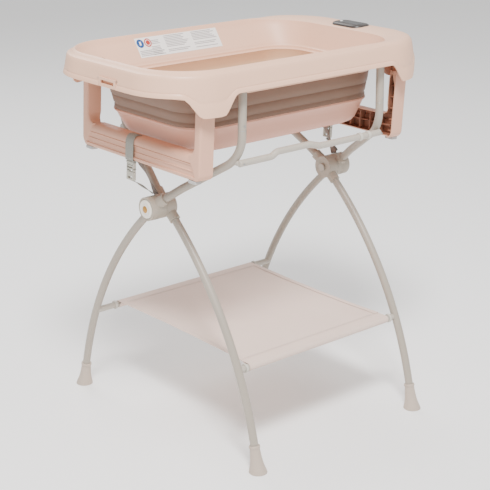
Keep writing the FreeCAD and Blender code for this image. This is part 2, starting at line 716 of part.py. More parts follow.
def bellows():
    """The soft folding wall between the rim and the basin."""
    steps_in = (LEDGE_LIP, -LEDGE_LIP, -LEDGE_LIP, -LEDGE_LIP)
    top = (LEDGE_Z - BELLOWS_GAP / 2,) + tuple(value + step for value, step in zip(OPENING_LEDGE[1:], steps_in))
    low_z = BASIN_TOP + BELLOWS_GAP
    bottom = (low_z,) + BASIN_TOP_LEVEL[1:]
    middle = between(top, bottom, (top[0] + low_z) / 2)
    outer = [top, middle, bottom]
    inner = [(top[0] + SLIT,) + top[1:], middle, (low_z - SLIT,) + bottom[1:]]
    return tray(outer).cut(tray(inner, BELLOWS_T))


def basin():
    """The rigid bottom of the bath, with a foot ring and the drain hole."""
    outside = tray([BASIN_LOW_LEVEL, BASIN_TOP_LEVEL])
    floor_level = between(BASIN_LOW_LEVEL, BASIN_TOP_LEVEL, BASIN_Z + WALL)
    above = between(BASIN_LOW_LEVEL, BASIN_TOP_LEVEL, BASIN_TOP + SLIT)
    inside = tray([floor_level, above], WALL)
    foot_low = (BASIN_Z - FOOT_RING_H,) + BASIN_LOW_LEVEL[1:]
    ring = tray([foot_low, (BASIN_Z + SLIT,) + BASIN_LOW_LEVEL[1:]], FOOT_RING_INSET)
    inner = [(foot_low[0] - SLIT,) + foot_low[1:], (BASIN_Z,) + foot_low[1:]]
    ring = ring.cut(tray(inner, FOOT_RING_INSET + FOOT_RING_W))
    shell = fuse([outside.cut(inside), ring])
    drain = Part.makeCylinder(DRAIN_D / 2, 2 * REACH, V(DRAIN_X, 0, BASIN_Z - REACH))
    return shell.cut(drain)


def drain_cone(gap):
    """The tapered hole through the seal, shrunk by a gap for the plug."""
    low = DRAIN_D / 2 - PLUG_TAPER_LOW - gap
    top = DRAIN_D / 2 - PLUG_TAPER_TOP - gap
    start = V(DRAIN_X, 0, BASIN_Z - SEAT_PROUD - SLIT)
    return Part.makeCone(low, top, WALL + 3 * SEAT_PROUD, start)


def drain_seat():
    """The seal round the drain hole."""
    seat = Part.makeCylinder(DRAIN_D / 2 - SEAT_FIT, WALL + 2 * SEAT_PROUD, V(DRAIN_X, 0, BASIN_Z - SEAT_PROUD))
    flange_at = V(DRAIN_X, 0, BASIN_Z + WALL + SEAT_FIT)
    flange = Part.makeCylinder(DRAIN_D / 2 + SEAT_FLANGE_W, SEAT_FLANGE_T, flange_at)
    return fuse([seat, flange]).cut(drain_cone(0.0))


def drain_plug():
    """The stopper, with a finger tab."""
    z_top = BASIN_Z + 2 * SEAT_PROUD + WALL - SLIT
    cap = Part.makeCylinder(DRAIN_D / 2 + PLUG_CAP_EXTRA, PLUG_CAP_T, V(DRAIN_X, 0, z_top))
    tab = box(DRAIN_X - PLUG_TAB_HALF_W, DRAIN_X + PLUG_TAB_HALF_W, -PLUG_TAB_HALF_T, PLUG_TAB_HALF_T,
              z_top + SLIT, z_top + PLUG_TAB_H)
    eye_z = z_top + PLUG_EYE_UP
    eye = rod(V(DRAIN_X, -REACH, eye_z), V(DRAIN_X, REACH, eye_z), PLUG_EYE_D)
    return fuse([drain_cone(PLUG_GAP), cap, tab]).cut(eye)


def build_bath():
    """The rim, bellows, basin, drain, display and hook."""
    save("tub_rim", tub_rim())
    save("bellows", bellows())
    save("basin", basin())
    save("drain_seat", drain_seat())
    save("drain_plug", drain_plug())
    save("hang_hook", hang_hook())
    save("hook_pin", hook_pin())
    build_display()


def build_display():
    """The thermometer in the head end of the rim."""
    x0 = DISPLAY_X - DISPLAY_W / 2 + DISPLAY_FIT
    x1 = DISPLAY_X + DISPLAY_W / 2 - DISPLAY_FIT
    z0 = RIM_TOP - DISPLAY_DEPTH + POCKET_CLEAR
    z1 = RIM_TOP + DISPLAY_PROUD
    case_wire = rounded_outline(x0, x1, DISPLAY_L / 2 - DISPLAY_FIT, DISPLAY_R - DISPLAY_FIT, z0)
    case = Part.Face(case_wire).extrude(V(0, 0, z1 - z0))
    lens_half = LENS_L / 2 + LENS_Y
    lens_wire = rounded_outline(DISPLAY_X - LENS_W / 2, DISPLAY_X + LENS_W / 2, lens_half, LENS_R, z1 - LENS_T)
    lens = Part.Face(lens_wire).extrude(V(0, 0, LENS_T + LENS_PROUD))
    lens.translate(V(0, LENS_Y, 0))
    key_y = DISPLAY_L / 2 - KEY_INSET
    hole_at = V(DISPLAY_X, key_y, z1 - KEY_HOLE_DEPTH)
    key_hole = Part.makeCylinder(KEY_D / 2 + KEY_GAP, 2 * KEY_HOLE_DEPTH, hole_at)
    key = Part.makeCylinder(KEY_D / 2, KEY_H, V(DISPLAY_X, key_y, z1 - KEY_SEAT))
    save("thermometer_case", case.cut(lens).cut(key_hole))
    save("thermometer_lens", lens)
    save("thermometer_key", key)


# ---------------------------------------------------------------- bath end legs
def end_leg_blank(end):
    """The U of an end leg upright, measured along X outwards from its pivot plane."""
    inner = -POST_DEPTH / 2
    outer = POST_DEPTH / 2
    top = LEG_PIVOT_Z
    outline = [V(0, -LEG_HALF_W, top), V(0, -LEG_HALF_W, LEG_BOTTOM_Z + LEG_CHAMFER),
               V(0, -LEG_HALF_W + LEG_CHAMFER, LEG_BOTTOM_Z), V(0, LEG_HALF_W - LEG_CHAMFER, LEG_BOTTOM_Z),
               V(0, LEG_HALF_W, LEG_BOTTOM_Z + LEG_CHAMFER), V(0, LEG_HALF_W, top)]
    slab = Part.Face(Part.makePolygon(outline + [outline[0]])).extrude(V(POST_DEPTH, 0, 0))
    slab.translate(V(inner, 0, 0))
    half_window = LEG_HALF_W - POST_W
    window_z = LEG_BOTTOM_Z + CROSSBAR_H
    window = box(inner - SLIT, outer + SLIT, -half_window, half_window, window_z, top + REACH)
    corner_edges = [e for e in window.Edges
                    if abs(e.CenterOfMass.z - window_z) < 0.1 and e.Length < POST_DEPTH + 3 * SLIT]
    window = window.makeFillet(LEG_WINDOW_R, corner_edges)
    frame = slab.cut(window)
    thin = box(inner - SLIT, -CROSSBAR_IN, -half_window, half_window,
               LEG_BOTTOM_Z - SLIT, window_z + LEG_WINDOW_R)
    frame = frame.cut(thin)
    knuckles = [rod(V(0, s * half_window, top), V(0, s * LEG_HALF_W, top), 2 * POST_TOP_R) for s in (-1, 1)]
    return fuse([frame] + knuckles)


def end_leg_pockets():
    """The open cells on the hidden inner side of an end leg, with ribs left between them."""
    inner = -CROSSBAR_IN
    outer = POST_DEPTH / 2 - LEG_WALL
    half = LEG_HALF_W - POST_W
    count = int(2 * half // RIB_PITCH)
    pitch = 2 * half / count
    z0 = LEG_BOTTOM_Z + LEG_WALL
    z1 = LEG_BOTTOM_Z + CROSSBAR_H - LEG_WALL
    cells = []
    for i in range(count):
        y = -half + i * pitch
        cells.append(box(inner - SLIT, outer, y + RIB_T / 2, y + pitch - RIB_T / 2, z0, z1))
    post_cells = post_pockets(outer)
    return fuse(cells + post_cells)


def post_pockets(outer):
    """The open cells on the inner side of the posts."""
    cells = []
    low = LEG_BOTTOM_Z + CROSSBAR_H + POST_CELL_UP
    high = LEG_PIVOT_Z - POST_TOP_R - POST_CELL_DOWN
    count = int((high - low) // RIB_PITCH)
    pitch = (high - low) / count
    for sign in (-1, 1):
        y_a = sign * (LEG_HALF_W - POST_W + LEG_WALL)
        y_b = sign * (LEG_HALF_W - LEG_WALL)
        for i in range(count):
            z = low + i * pitch
            cells.append(box(-POST_DEPTH / 2 - SLIT, outer, min(y_a, y_b), max(y_a, y_b),
                             z + RIB_T, z + pitch - RIB_T))
    return cells


def end_leg_trim():
    """The long shallow recess on the outer side of the crossbar."""
    outer = POST_DEPTH / 2
    half = LEG_HALF_W - POST_W - TRIM_INSET
    return box(outer - TRIM_DEPTH, outer + SLIT, -half, half, LEG_BOTTOM_Z + TRIM_UP,
               LEG_BOTTOM_Z + CROSSBAR_H - TRIM_DOWN)


def place_end(shape, end):
    """Put a shape made about the pivot plane at its end of the bath, with its lean."""
    placed = shape.copy()
    sign = ENDS[end]
    if sign < 0:
        placed = placed.mirror(V(0, 0, 0), V(1, 0, 0))
    lean = LEG_LEAN_HEAD if end == "head" else LEG_LEAN_FOOT
    placed.translate(V(leg_pivot_x(end), 0, 0))
    placed.rotate(V(leg_pivot_x(end), 0, LEG_PIVOT_Z), V(0, 1, 0), -sign * lean)
    return placed


def end_leg(end):
    """One fold-out end leg."""
    body = end_leg_blank(end).cut(end_leg_pockets()).cut(end_leg_trim())
    hole_from = LEG_HALF_W - POST_W - SLIT
    hole_to = LEG_HALF_W + SLIT
    holes = [rod(V(0, s * hole_from, LEG_PIVOT_Z), V(0, s * hole_to, LEG_PIVOT_Z), LEG_PIN_D + 2 * RUN_GAP)
             for s in (-1, 1)]
    return place_end(body.cut(fuse(holes)), end)


def leg_pads(end):
    """The two rubber pads under an end leg."""
    pads = []
    x0 = POST_DEPTH / 2 - PAD_W - PAD_SET_IN
    for sign in (-1, 1):
        y = sign * (LEG_HALF_W - LEG_CHAMFER - PAD_L / 2)
        pads.append(box(x0, x0 + PAD_W, y - PAD_L / 2, y + PAD_L / 2, LEG_BOTTOM_Z - PAD_H, LEG_BOTTOM_Z))
    return place_end(group(pads), end)


def leg_pins(end):
    """The two pivot pins of an end leg, held by the rim."""
    inner = LEG_HALF_W - POST_W - SIDE_PLAY - HINGE_PLATE_T
    return group([leg_pin_axis(end, s, LEG_PIN_D, inner, LEG_HALF_W + LEG_PIN_PROUD) for s in (-1, 1)])


def strap_loop(end):
    """The webbing loop round the middle of a crossbar."""
    x0 = -CROSSBAR_IN - LOOP_GAP
    x1 = POST_DEPTH / 2 + LOOP_GAP
    z0 = LEG_BOTTOM_Z - LOOP_GAP
    z1 = LEG_BOTTOM_Z + CROSSBAR_H + LOOP_GAP
    y0, y1 = STRAP_Y - STRAP_W / 2, STRAP_Y + STRAP_W / 2
    ring = box(x0 - STRAP_T, x1 + STRAP_T, y0, y1, z0 - STRAP_T, z1 + STRAP_T)
    return place_end(ring.cut(box(x0, x1, y0 - SLIT, y1 + SLIT, z0, z1)), end)


def buckle_x():
    """The X span of a buckle, out from the pivot plane."""
    x0 = POST_DEPTH / 2 - BUCKLE_T
    return x0, x0 + BUCKLE_T


def buckle_socket(end):
    """The half of the buckle that hangs from the loop."""
    x0, x1 = buckle_x()
    z1 = LOOP_UNDER
    z0 = z1 - SOCKET_H
    y0, y1 = STRAP_Y - BUCKLE_W / 2, STRAP_Y + BUCKLE_W / 2
    body = box(x0, x1, y0, y1, z0, z1)
    mouth = box(x0 - SLIT, x1 + SLIT, y0 + SOCKET_WALL, y1 - SOCKET_WALL, z0 - SLIT, z0 + PRONG_L + MOUTH_CLEAR)
    return place_end(body.cut(mouth), end)


def buckle_clip(end):
    """The half of the buckle on the stand's strap, with two springy prongs."""
    x0, x1 = buckle_x()
    z1 = LOOP_UNDER - SOCKET_H - BUCKLE_GAP
    z0 = z1 - CLIP_H
    y0, y1 = STRAP_Y - BUCKLE_W / 2, STRAP_Y + BUCKLE_W / 2
    body = box(x0, x1, y0, y1, z0, z1)
    slot = box(x0 - SLIT, x1 + SLIT, y0 + CLIP_BAR, y1 - CLIP_BAR, z0 + CLIP_BAR, z0 + CLIP_BAR + CLIP_SLOT)
    prongs = [box(x0 + PRONG_INSET, x1 - PRONG_INSET, y, y + PRONG_W, z1 - SLIT, z1 + PRONG_L)
              for y in (y0 + PRONG_IN, y1 - PRONG_IN - PRONG_W)]
    return place_end(fuse([body] + prongs).cut(slot), end)


def strap_anchor(end, inward):
    """A point just above the top of a hub where one of the stand's straps starts."""
    side = "right" if end == "head" else "left"
    return V(side_x(side, OUTER_X + STRAP_SET_OUT - inward), 0, PIVOT_Z + HUB_D / 2 + STRAP_CLEAR)


def placed_point(x, y, z, end):
    """A point given about the pivot plane, moved to its end of the bath."""
    return place_end(Part.Vertex(V(x, y, z)), end).Point


def band(low, top, width):
    """A flat band of webbing from one point up to another, with level ends."""
    along = (top - low).normalize()
    across = (V(0, 1, 0) - along * along.y).normalize()
    half_w = across * (width / 2)
    half_t = along.cross(across) * (STRAP_T / 2)
    start = low - along * width
    corners = [start - half_w - half_t, start + half_w - half_t,
               start + half_w + half_t, start - half_w + half_t]
    strip = Part.Face(Part.makePolygon(corners + [corners[0]])).extrude(top - low + along * 2 * width)
    middle = (low + top) * 0.5
    return strip.common(box(middle.x - REACH, middle.x + REACH, -REACH, REACH, low.z, top.z))


def strap_front(end):
    """The stand's front strap, from the top of the hub to the clip."""
    x0, x1 = buckle_x()
    z = LOOP_UNDER - SOCKET_H - BUCKLE_GAP - CLIP_H
    top = placed_point((x0 + x1) / 2, STRAP_Y, z - SLIT, end)
    return band(strap_anchor(end, 0), top, STRAP_W - STRAP_TRIM)


def strap_back(end):
    """The stand's back strap, from the top of the hub to the underside of the crossbar."""
    top = placed_point(-CROSSBAR_IN - STRAP_CLEAR, STRAP_Y - STRAP_CLEAR, LOOP_UNDER - 0.75 * STRAP_CLEAR, end)
    return band(strap_anchor(end, STRAP_PITCH), top, STRAP_W - STRAP_TRIM)


def build_end_legs():
    """Both end legs with their pins, pads, loops and buckles."""
    for end in ENDS:
        save("end_leg_" + end, end_leg(end))
        save("end_leg_pads_" + end, leg_pads(end))
        save("end_leg_pins_" + end, leg_pins(end))
        save("strap_loop_" + end, strap_loop(end))
        save("buckle_socket_" + end, buckle_socket(end))
        save("buckle_clip_" + end, buckle_clip(end))
        save("strap_front_" + end, strap_front(end))
        save("strap_back_" + end, strap_back(end))


def main():
    """Build every node."""
    os.makedirs(OUT, exist_ok=True)
    build_stand()
    build_bath()
    build_end_legs()


main()
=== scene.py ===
"""Looks of a folding baby bath on its scissor stand with a cloth shelf."""
import logging
import math
import random
from collections.abc import Callable, Iterable, Sequence
from dataclasses import dataclass, field
from enum import Enum
from typing import ClassVar

import bmesh
import bpy
from bmesh.types import BMEdge, BMesh, BMFace, BMVert
from bpy.types import ID, Material, Node, NodeSocket, NodeTree, Object
from mathutils import Matrix, Vector


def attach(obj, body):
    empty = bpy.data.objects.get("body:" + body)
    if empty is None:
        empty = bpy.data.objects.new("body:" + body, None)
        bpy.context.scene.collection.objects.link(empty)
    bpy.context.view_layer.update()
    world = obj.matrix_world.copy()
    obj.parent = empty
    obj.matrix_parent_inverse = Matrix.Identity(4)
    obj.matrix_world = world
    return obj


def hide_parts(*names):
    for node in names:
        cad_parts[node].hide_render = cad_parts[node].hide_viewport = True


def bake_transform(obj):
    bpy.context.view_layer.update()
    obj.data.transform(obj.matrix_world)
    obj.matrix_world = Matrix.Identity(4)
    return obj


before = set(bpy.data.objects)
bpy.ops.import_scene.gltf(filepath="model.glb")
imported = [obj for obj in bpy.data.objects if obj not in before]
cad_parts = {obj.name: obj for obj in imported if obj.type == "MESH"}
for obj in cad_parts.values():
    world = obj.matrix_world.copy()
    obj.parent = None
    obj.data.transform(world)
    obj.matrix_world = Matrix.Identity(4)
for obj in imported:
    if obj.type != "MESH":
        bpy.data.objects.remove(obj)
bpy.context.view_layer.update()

log = logging.getLogger("baby_bath")
MM = 0.001
Point = tuple[float, float]
Place = Callable[[float, float], Vector]
Colour = tuple[float, float, float, float]
WELD_M = 0.00002
LEG_PIVOT_Z = 858.0
HEAD_PIVOT_X = 316.0
FOOT_PIVOT_X = -296.0
SIDES = {"left": -1, "right": 1}
X_WAY = Vector((1, 0, 0))
Y_WAY = Vector((0, 1, 0))
Z_WAY = Vector((0, 0, 1))


# ------------------------------------------------------------------ small helpers
def mm(x: float, y: float, z: float) -> Vector:
    """A point given in millimetres, in metres."""
    return Vector((x, y, z)) * MM


def mix(a: float, b: float, share: float) -> float:
    """The value a share of the way from a to b."""
    return a + (b - a) * share


def smooth(low: float, high: float, value: float) -> float:
    """A soft step from 0 at low to 1 at high."""
    share = min(1.0, max(0.0, (value - low) / (high - low)))
    return share * share * (3 - 2 * share)


def along(stops: Sequence[Point], share: float) -> float:
    """The height at a share on a run of (share, height) stops."""
    for (s0, h0), (s1, h1) in zip(stops, stops[1:]):
        if share <= s1:
            return mix(h0, h1, (share - s0) / (s1 - s0))
    return stops[-1][1]


def linear(hex_colour: str) -> Colour:
    """An sRGB hex colour, #rrggbb, as the linear values that a shader reads."""
    parts = [int(hex_colour[i:i + 2], 16) / 255 for i in (1, 3, 5)]
    red, green, blue = [c / 12.92 if c <= 0.04045 else ((c + 0.055) / 1.055) ** 2.4 for c in parts]
    return red, green, blue, 1.0


# ------------------------------------------------------------------ material nodes
def feed(tree: NodeTree, node: Node, inputs: dict[str | int, object]) -> None:
    """Set a node's inputs, or link them.

    Args:
        tree: The material's node tree.
        node: The node.
        inputs: Socket name or number, to a value or to the output that feeds it.
    """
    for name, value in inputs.items():
        if isinstance(value, NodeSocket):
            tree.links.new(value, node.inputs[name])
        else:
            node.inputs[name].default_value = value


def add_node(tree: NodeTree, kind: str, inputs: dict[str | int, object] | None = None,
             **settings: object) -> Node:
    """Add one node with its settings and links.

    Args:
        tree: The material's node tree.
        kind: The node's type.
        inputs: What feed() takes.
        **settings: The node's own properties.

    Returns:
        The new node.
    """
    made = tree.nodes.new(kind)
    for name, value in settings.items():
        setattr(made, name, value)
    feed(tree, made, inputs or {})
    return made


def noise(tree: NodeTree, at: NodeSocket, size_mm: float, detail: float) -> NodeSocket:
    """Noise in patches of a size."""
    return add_node(tree, "ShaderNodeTexNoise",
                    {"Vector": at, "Scale": 1000 / size_mm, "Detail": detail}).outputs["Fac"]


def bump(tree: NodeTree, height: NodeSocket, strength: float, depth_mm: float) -> NodeSocket:
    """A normal that follows a height."""
    return add_node(tree, "ShaderNodeBump",
                    {"Height": height, "Strength": strength, "Distance": depth_mm * MM}).outputs["Normal"]


def gloss(tree: NodeTree, pattern: NodeSocket, low: float, high: float) -> NodeSocket:
    """A roughness that follows a pattern."""
    return add_node(tree, "ShaderNodeMapRange",
                    {"Value": pattern, "To Min": low, "To Max": high}).outputs["Result"]


def colours(tree: NodeTree, pattern: NodeSocket, low: Colour, high: Colour) -> NodeSocket:
    """A colour that follows a pattern from one colour to another."""
    return add_node(tree, "ShaderNodeMix", {"Factor": pattern, 6: low, 7: high}, data_type="RGBA").outputs[2]


# ------------------------------------------------------------------ finishes
@dataclass(frozen=True)
class Finish:
    """What every finish has: a name, a colour and how rough it is."""

    name: str
    colour: str
    roughness: float

    def material(self) -> Material:
        """The material, made the first time it is asked for."""
        return bpy.data.materials.get(self.name) or self.make()

    def make(self) -> Material:
        """Make the material, then add what its kind of finish has."""
        material = bpy.data.materials.new(self.name)
        material.use_nodes = True
        tree = material.node_tree
        shader = tree.nodes["Principled BSDF"]
        feed(tree, shader, {"Base Color": linear(self.colour), "Roughness": self.roughness})
        self.finish(tree, shader, add_node(tree, "ShaderNodeTexCoord"))
        return material

    def finish(self, tree: NodeTree, shader: Node, places: Node) -> None:
        """Add the nodes of this kind of finish.

        Args:
            tree: The material's node tree.
            shader: Its shader.
            places: The node that gives each point's coordinates.
        """
        raise NotImplementedError

    def cloudy(self, tree: NodeTree, shader: Node, at: NodeSocket, patch_mm: float, depth: float) -> None:
        """Vary the colour and gloss slowly over the surface.

        Args:
            tree: The material's node tree.
            shader: Its shader.
            at: Where the pattern is read.
            patch_mm: Size of one patch.
            depth: How much darker a patch may be, from 0 to 1.
        """
        cloud = noise(tree, at, patch_mm, 3.0)
        dark = tuple(c * (1 - depth) for c in linear(self.colour)[:3]) + (1.0,)
        feed(tree, shader, {"Base Color": colours(tree, cloud, dark, linear(self.colour)),
                            "Roughness": gloss(tree, cloud, self.roughness + 0.05, self.roughness - 0.05)})


@dataclass(frozen=True)
class MouldedPlastic(Finish):
    """Polypropylene moulded in a spark-eroded tool: an even satin skin with a fine grain."""

    grain_mm: float = 0.9
    grain_depth: float = 0.10

    def finish(self, tree: NodeTree, shader: Node, places: Node) -> None:
        """Fine noise for the tool's grain, and slow patches where the melt cooled unevenly."""
        at = places.outputs["Object"]
        self.cloudy(tree, shader, at, 120.0, 0.05)
        grain = noise(tree, at, self.grain_mm, 2.0)
        feed(tree, shader, {"Normal": bump(tree, grain, self.grain_depth, 0.3), "IOR": 1.49})


@dataclass(frozen=True)
class SoftRubber(Finish):
    """Thermoplastic elastomer overmoulded between two plastic parts: matt, with a dusty sheen."""

    def finish(self, tree: NodeTree, shader: Node, places: Node) -> None:
        """Wide soft noise, because a rubber skin is never quite flat."""
        at = places.outputs["Object"]
        self.cloudy(tree, shader, at, 60.0, 0.07)
        skin = noise(tree, at, 2.5, 4.0)
        feed(tree, shader, {"Normal": bump(tree, skin, 0.15, 0.4), "Sheen Weight": 0.12,
                            "Sheen Roughness": 0.5})


@dataclass(frozen=True)
class PowderCoat(Finish):
    """Polyester powder baked on steel tube: satin, with a slight orange peel."""

    def finish(self, tree: NodeTree, shader: Node, places: Node) -> None:
        """Orange peel about as wide as the powder flows, under fine specks of the powder."""
        at = places.outputs["Object"]
        self.cloudy(tree, shader, at, 200.0, 0.04)
        peel = noise(tree, at, 1.6, 1.0)
        speck = noise(tree, at, 0.4, 2.0)
        both = add_node(tree, "ShaderNodeMath", {0: speck, 1: 0.25, 2: peel}, operation="MULTIPLY_ADD")
        feed(tree, shader, {"Normal": bump(tree, both.outputs["Value"], 0.16, 0.3), "Coat Weight": 0.15,
                            "Coat Roughness": 0.3})


class Weave(Enum):
    """The two woven goods and how their threads lie: threads along, threads across, depth."""

    OXFORD = (1.4, 1.4, 0.5)
    WEBBING = (2.2, 1.1, 0.9)


@dataclass(frozen=True)
class Woven(Finish):
    """Polyester yarn, woven; each crossing is a small pillow that catches the light."""

    weave: Weave = Weave.OXFORD
    width_mm: float = 460.0
    length_mm: float = 650.0
    shade: str = "#b9aaa0"

    def finish(self, tree: NodeTree, shader: Node, places: Node) -> None:
        """Two sets of bands on the piece's own UV map, one for each set of threads.

        The oxford threads are drawn at 1.4 mm, about twice their real spacing, so that they show.
        """
        pitch_along, pitch_across, depth = self.weave.value
        uv = places.outputs["UV"]
        bands_in_uv = 10
        size = (self.length_mm / pitch_along / bands_in_uv, self.width_mm / pitch_across / bands_in_uv, 1.0)
        mapped = add_node(tree, "ShaderNodeMapping", {"Vector": uv, "Scale": size})
        threads = {"Vector": mapped.outputs["Vector"], "Scale": bands_in_uv / math.pi, "Distortion": 0.35,
                   "Detail": 1.0, "Detail Scale": 2.0}
        bands = [add_node(tree, "ShaderNodeTexWave", threads, wave_type="BANDS", bands_direction=axis)
                 for axis in ("X", "Y")]
        weave = add_node(tree, "ShaderNodeMath", {i: band.outputs["Fac"] for i, band in enumerate(bands)},
                         operation="MULTIPLY").outputs["Value"]
        cloud = add_node(tree, "ShaderNodeTexNoise", {"Vector": uv, "Scale": 7.0, "Detail": 4.0})
        share = add_node(tree, "ShaderNodeMath", {0: cloud.outputs["Fac"], 1: 0.35, 2: weave},
                         operation="MULTIPLY_ADD", use_clamp=True)
        # The shade colour is painted shade in the dips between thread crossings, mixed with slow random tone.
        shown = colours(tree, share.outputs["Value"], linear(self.shade), linear(self.colour))
        feed(tree, shader, {"Base Color": shown, "Normal": bump(tree, weave, depth, 0.5),
                            "Sheen Weight": 0.2, "Sheen Roughness": 0.4})


@dataclass(frozen=True)
class Metal(Finish):
    """Plated or polished metal, brushed finely when it was made."""

    def finish(self, tree: NodeTree, shader: Node, places: Node) -> None:
        """Fine stretched noise for the brush marks."""
        stretched = add_node(tree, "ShaderNodeMapping",
                             {"Vector": places.outputs["Object"], "Scale": (1.0, 1.0, 12.0)})
        marks = noise(tree, stretched.outputs["Vector"], 1.5, 3.0)
        feed(tree, shader, {"Metallic": 1.0,
                            "Roughness": gloss(tree, marks, self.roughness - 0.08, self.roughness + 0.1)})


@dataclass(frozen=True)
class Glazing(Finish):
    """A tinted acrylic window, polished, with a moisture haze over it."""

    def finish(self, tree: NodeTree, shader: Node, places: Node) -> None:
        """A glossy dark pane whose gloss is broken by faint smears."""
        self.cloudy(tree, shader, places.outputs["Object"], 18.0, 0.12)
        feed(tree, shader, {"Coat Weight": 0.2, "Coat Roughness": 0.2})


@dataclass(frozen=True)
class Ink(Finish):
    """A solid ink or vinyl film, printed on a sticker."""

    def finish(self, tree: NodeTree, shader: Node, places: Node) -> None:
        """Print is nearly even; a fine noise stands for the press's dots."""
        self.cloudy(tree, shader, places.outputs["Object"], 3.0, 0.06)


RIM_PLASTIC = MouldedPlastic("rim_polypropylene", "#e8ba9d", 0.40)
# A darker copy of the rim plastic, painted shade for the recess behind the hang-up hook.
RIM_SHADE = MouldedPlastic("rim_polypropylene_painted_shade", "#d99f7c", 0.46)
LEG_PLASTIC = MouldedPlastic("leg_polypropylene", "#d9a78d", 0.44)
# A darker copy of the leg plastic: painted shade for the legs' inner walls, their ribs and the pivot brackets
# inside the lobes.
LEG_PAINTED_SHADE = MouldedPlastic("leg_polypropylene_painted_shade", "#96654f", 0.55)
BASIN_PLASTIC = MouldedPlastic("basin_polypropylene", "#dba38d", 0.42)
# One elastomer in two copies: the outside darkened as painted shade, the inside lightened as painted bounce
# light.
BELLOWS_OUT_PAINTED_SHADE = SoftRubber("bellows_elastomer_painted_shade", "#806351", 0.62)
BELLOWS_IN_PAINTED_LIGHT = SoftRubber("bellows_inside_painted_light", "#c7a17d", 0.58)
STAND_COAT = PowderCoat("stand_powder_coat", "#a1978a", 0.42)
RAIL_COAT = PowderCoat("rail_powder_coat", "#b3ab9f", 0.40)
HUB_PLASTIC = MouldedPlastic("hub_polyamide", "#a99e8f", 0.48, grain_mm=0.7, grain_depth=0.2)
CREAM_PLASTIC = MouldedPlastic("button_abs", "#f0e9dc", 0.35)
FOOT_PLASTIC = MouldedPlastic("foot_polyethylene", "#b8a899", 0.5)
COLLAR_PLASTIC = MouldedPlastic("collar_polyamide", "#c6c1b6", 0.5)
BRASS = Metal("emblem_brass", "#b98a45", 0.35)
STEEL = Metal("zinc_plated_steel", "#a9aaa8", 0.35)
# The shelf cloth's colour is lightened as painted light, against the bath's shadow that falls on it.
SHELF_CLOTH_PAINTED_LIGHT = Woven("shelf_oxford_cloth_painted_light", "#ecd6ca", 0.8, shade="#d9bfb0")
SEAM_THREAD = Woven("seam_thread", "#efe6df", 0.7, shade="#d6c8bf", width_mm=3.0, length_mm=6.0)
STRAP_WEB = Woven("strap_webbing", "#a8a89d", 0.75, weave=Weave.WEBBING, width_mm=30.0, length_mm=220.0,
                  shade="#8f8e86")
# The back band's webbing, darker as painted shade: it lies in shadow behind the bar.
STRAP_PAINTED_SHADE = Woven("strap_webbing_back_painted_shade", "#a08f83", 0.8, weave=Weave.WEBBING, width_mm=22.0, length_mm=90.0,
                   shade="#6d5a50")
BUCKLE_PLASTIC = MouldedPlastic("buckle_acetal", "#bab7aa", 0.36)
PAD_RUBBER = SoftRubber("pad_rubber", "#8b8883", 0.75)
SEAL_RUBBER = SoftRubber("drain_rubber", "#c7bdb4", 0.6)
CASE_PLASTIC = MouldedPlastic("display_abs", "#3b3634", 0.34)
WINDOW = Glazing("display_window", "#2c2a2b", 0.35)
KEY_PLASTIC = MouldedPlastic("display_key", "#b9b4ae", 0.4)
PAPER = Ink("label_film", "#efebe6", 0.7)
GREY_INK = Ink("label_grey", "#a09a9b", 0.6)
BLUE_INK = Ink("label_blue", "#1d4a86", 0.5)
RED_INK = Ink("label_red", "#b5382a", 0.5)


# ------------------------------------------------------------------ making pieces
def add_object(name: str, data: ID) -> Object:
    """Put a new object with its data in the scene."""
    made = bpy.data.objects.new(name, data)
    bpy.context.scene.collection.objects.link(made)
    return made


def piece(bm: BMesh, name: str, finishes: Sequence[Finish], body: str | None,
          replaced: Iterable[str] = (), sharp: float = 35.0) -> Object:
    """Turn a finished bmesh into a piece that rides on a body.

    Args:
        bm: The shape, in metres in the row frame; it is freed.
        name: The piece's name.
        finishes: One finish for each material number in the mesh.
        body: The body that it moves with, or None when it bends between two.
        replaced: The CAD nodes that it stands for.
        sharp: Edges that turn by more degrees than this are shaded sharp.

    Returns:
        The new object.
    """
    mesh = bpy.data.meshes.new(name)
    bm.to_mesh(mesh)
    bm.free()
    mesh.shade_smooth()
    mesh.set_sharp_from_angle(angle=math.radians(sharp))
    for finish in finishes:
        mesh.materials.append(finish.material())
    made = add_object(name, mesh)
    if body:
        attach(made, body)
    if replaced:
        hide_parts(*replaced)
    log.info("%s: %d faces on %s", name, len(mesh.polygons), body)
    return made


def thicken(made: Object, thickness_mm: float, inward: bool = True, inner_material: int = 0) -> None:
    """Give a single-walled piece its thickness.

    Args:
        made: The piece.
        thickness_mm: Wall thickness.
        inward: Whether the wall grows against the normals, or half each way.
        inner_material: How many slots further on the inner wall's material is.
    """
    wall = made.modifiers.new("wall", "SOLIDIFY")
    wall.thickness = thickness_mm * MM
    wall.offset = -1.0 if inward else 0.0
    wall.use_even_offset = True
    wall.material_offset = inner_material


def soften(made: Object, radius_mm: float, segments: int = 2, angle: float = 35.0) -> None:
    """Round a piece's sharp edges.

    Args:
        made: The piece.
        radius_mm: Width of the rounding.
        segments: Steps across it.
        angle: Edges that turn by more degrees than this are rounded.
    """
    rounding = made.modifiers.new("rounding", "BEVEL")
    rounding.width = radius_mm * MM
    rounding.segments = segments
    rounding.limit_method = "ANGLE"
    rounding.angle_limit = math.radians(angle)
    rounding.harden_normals = True


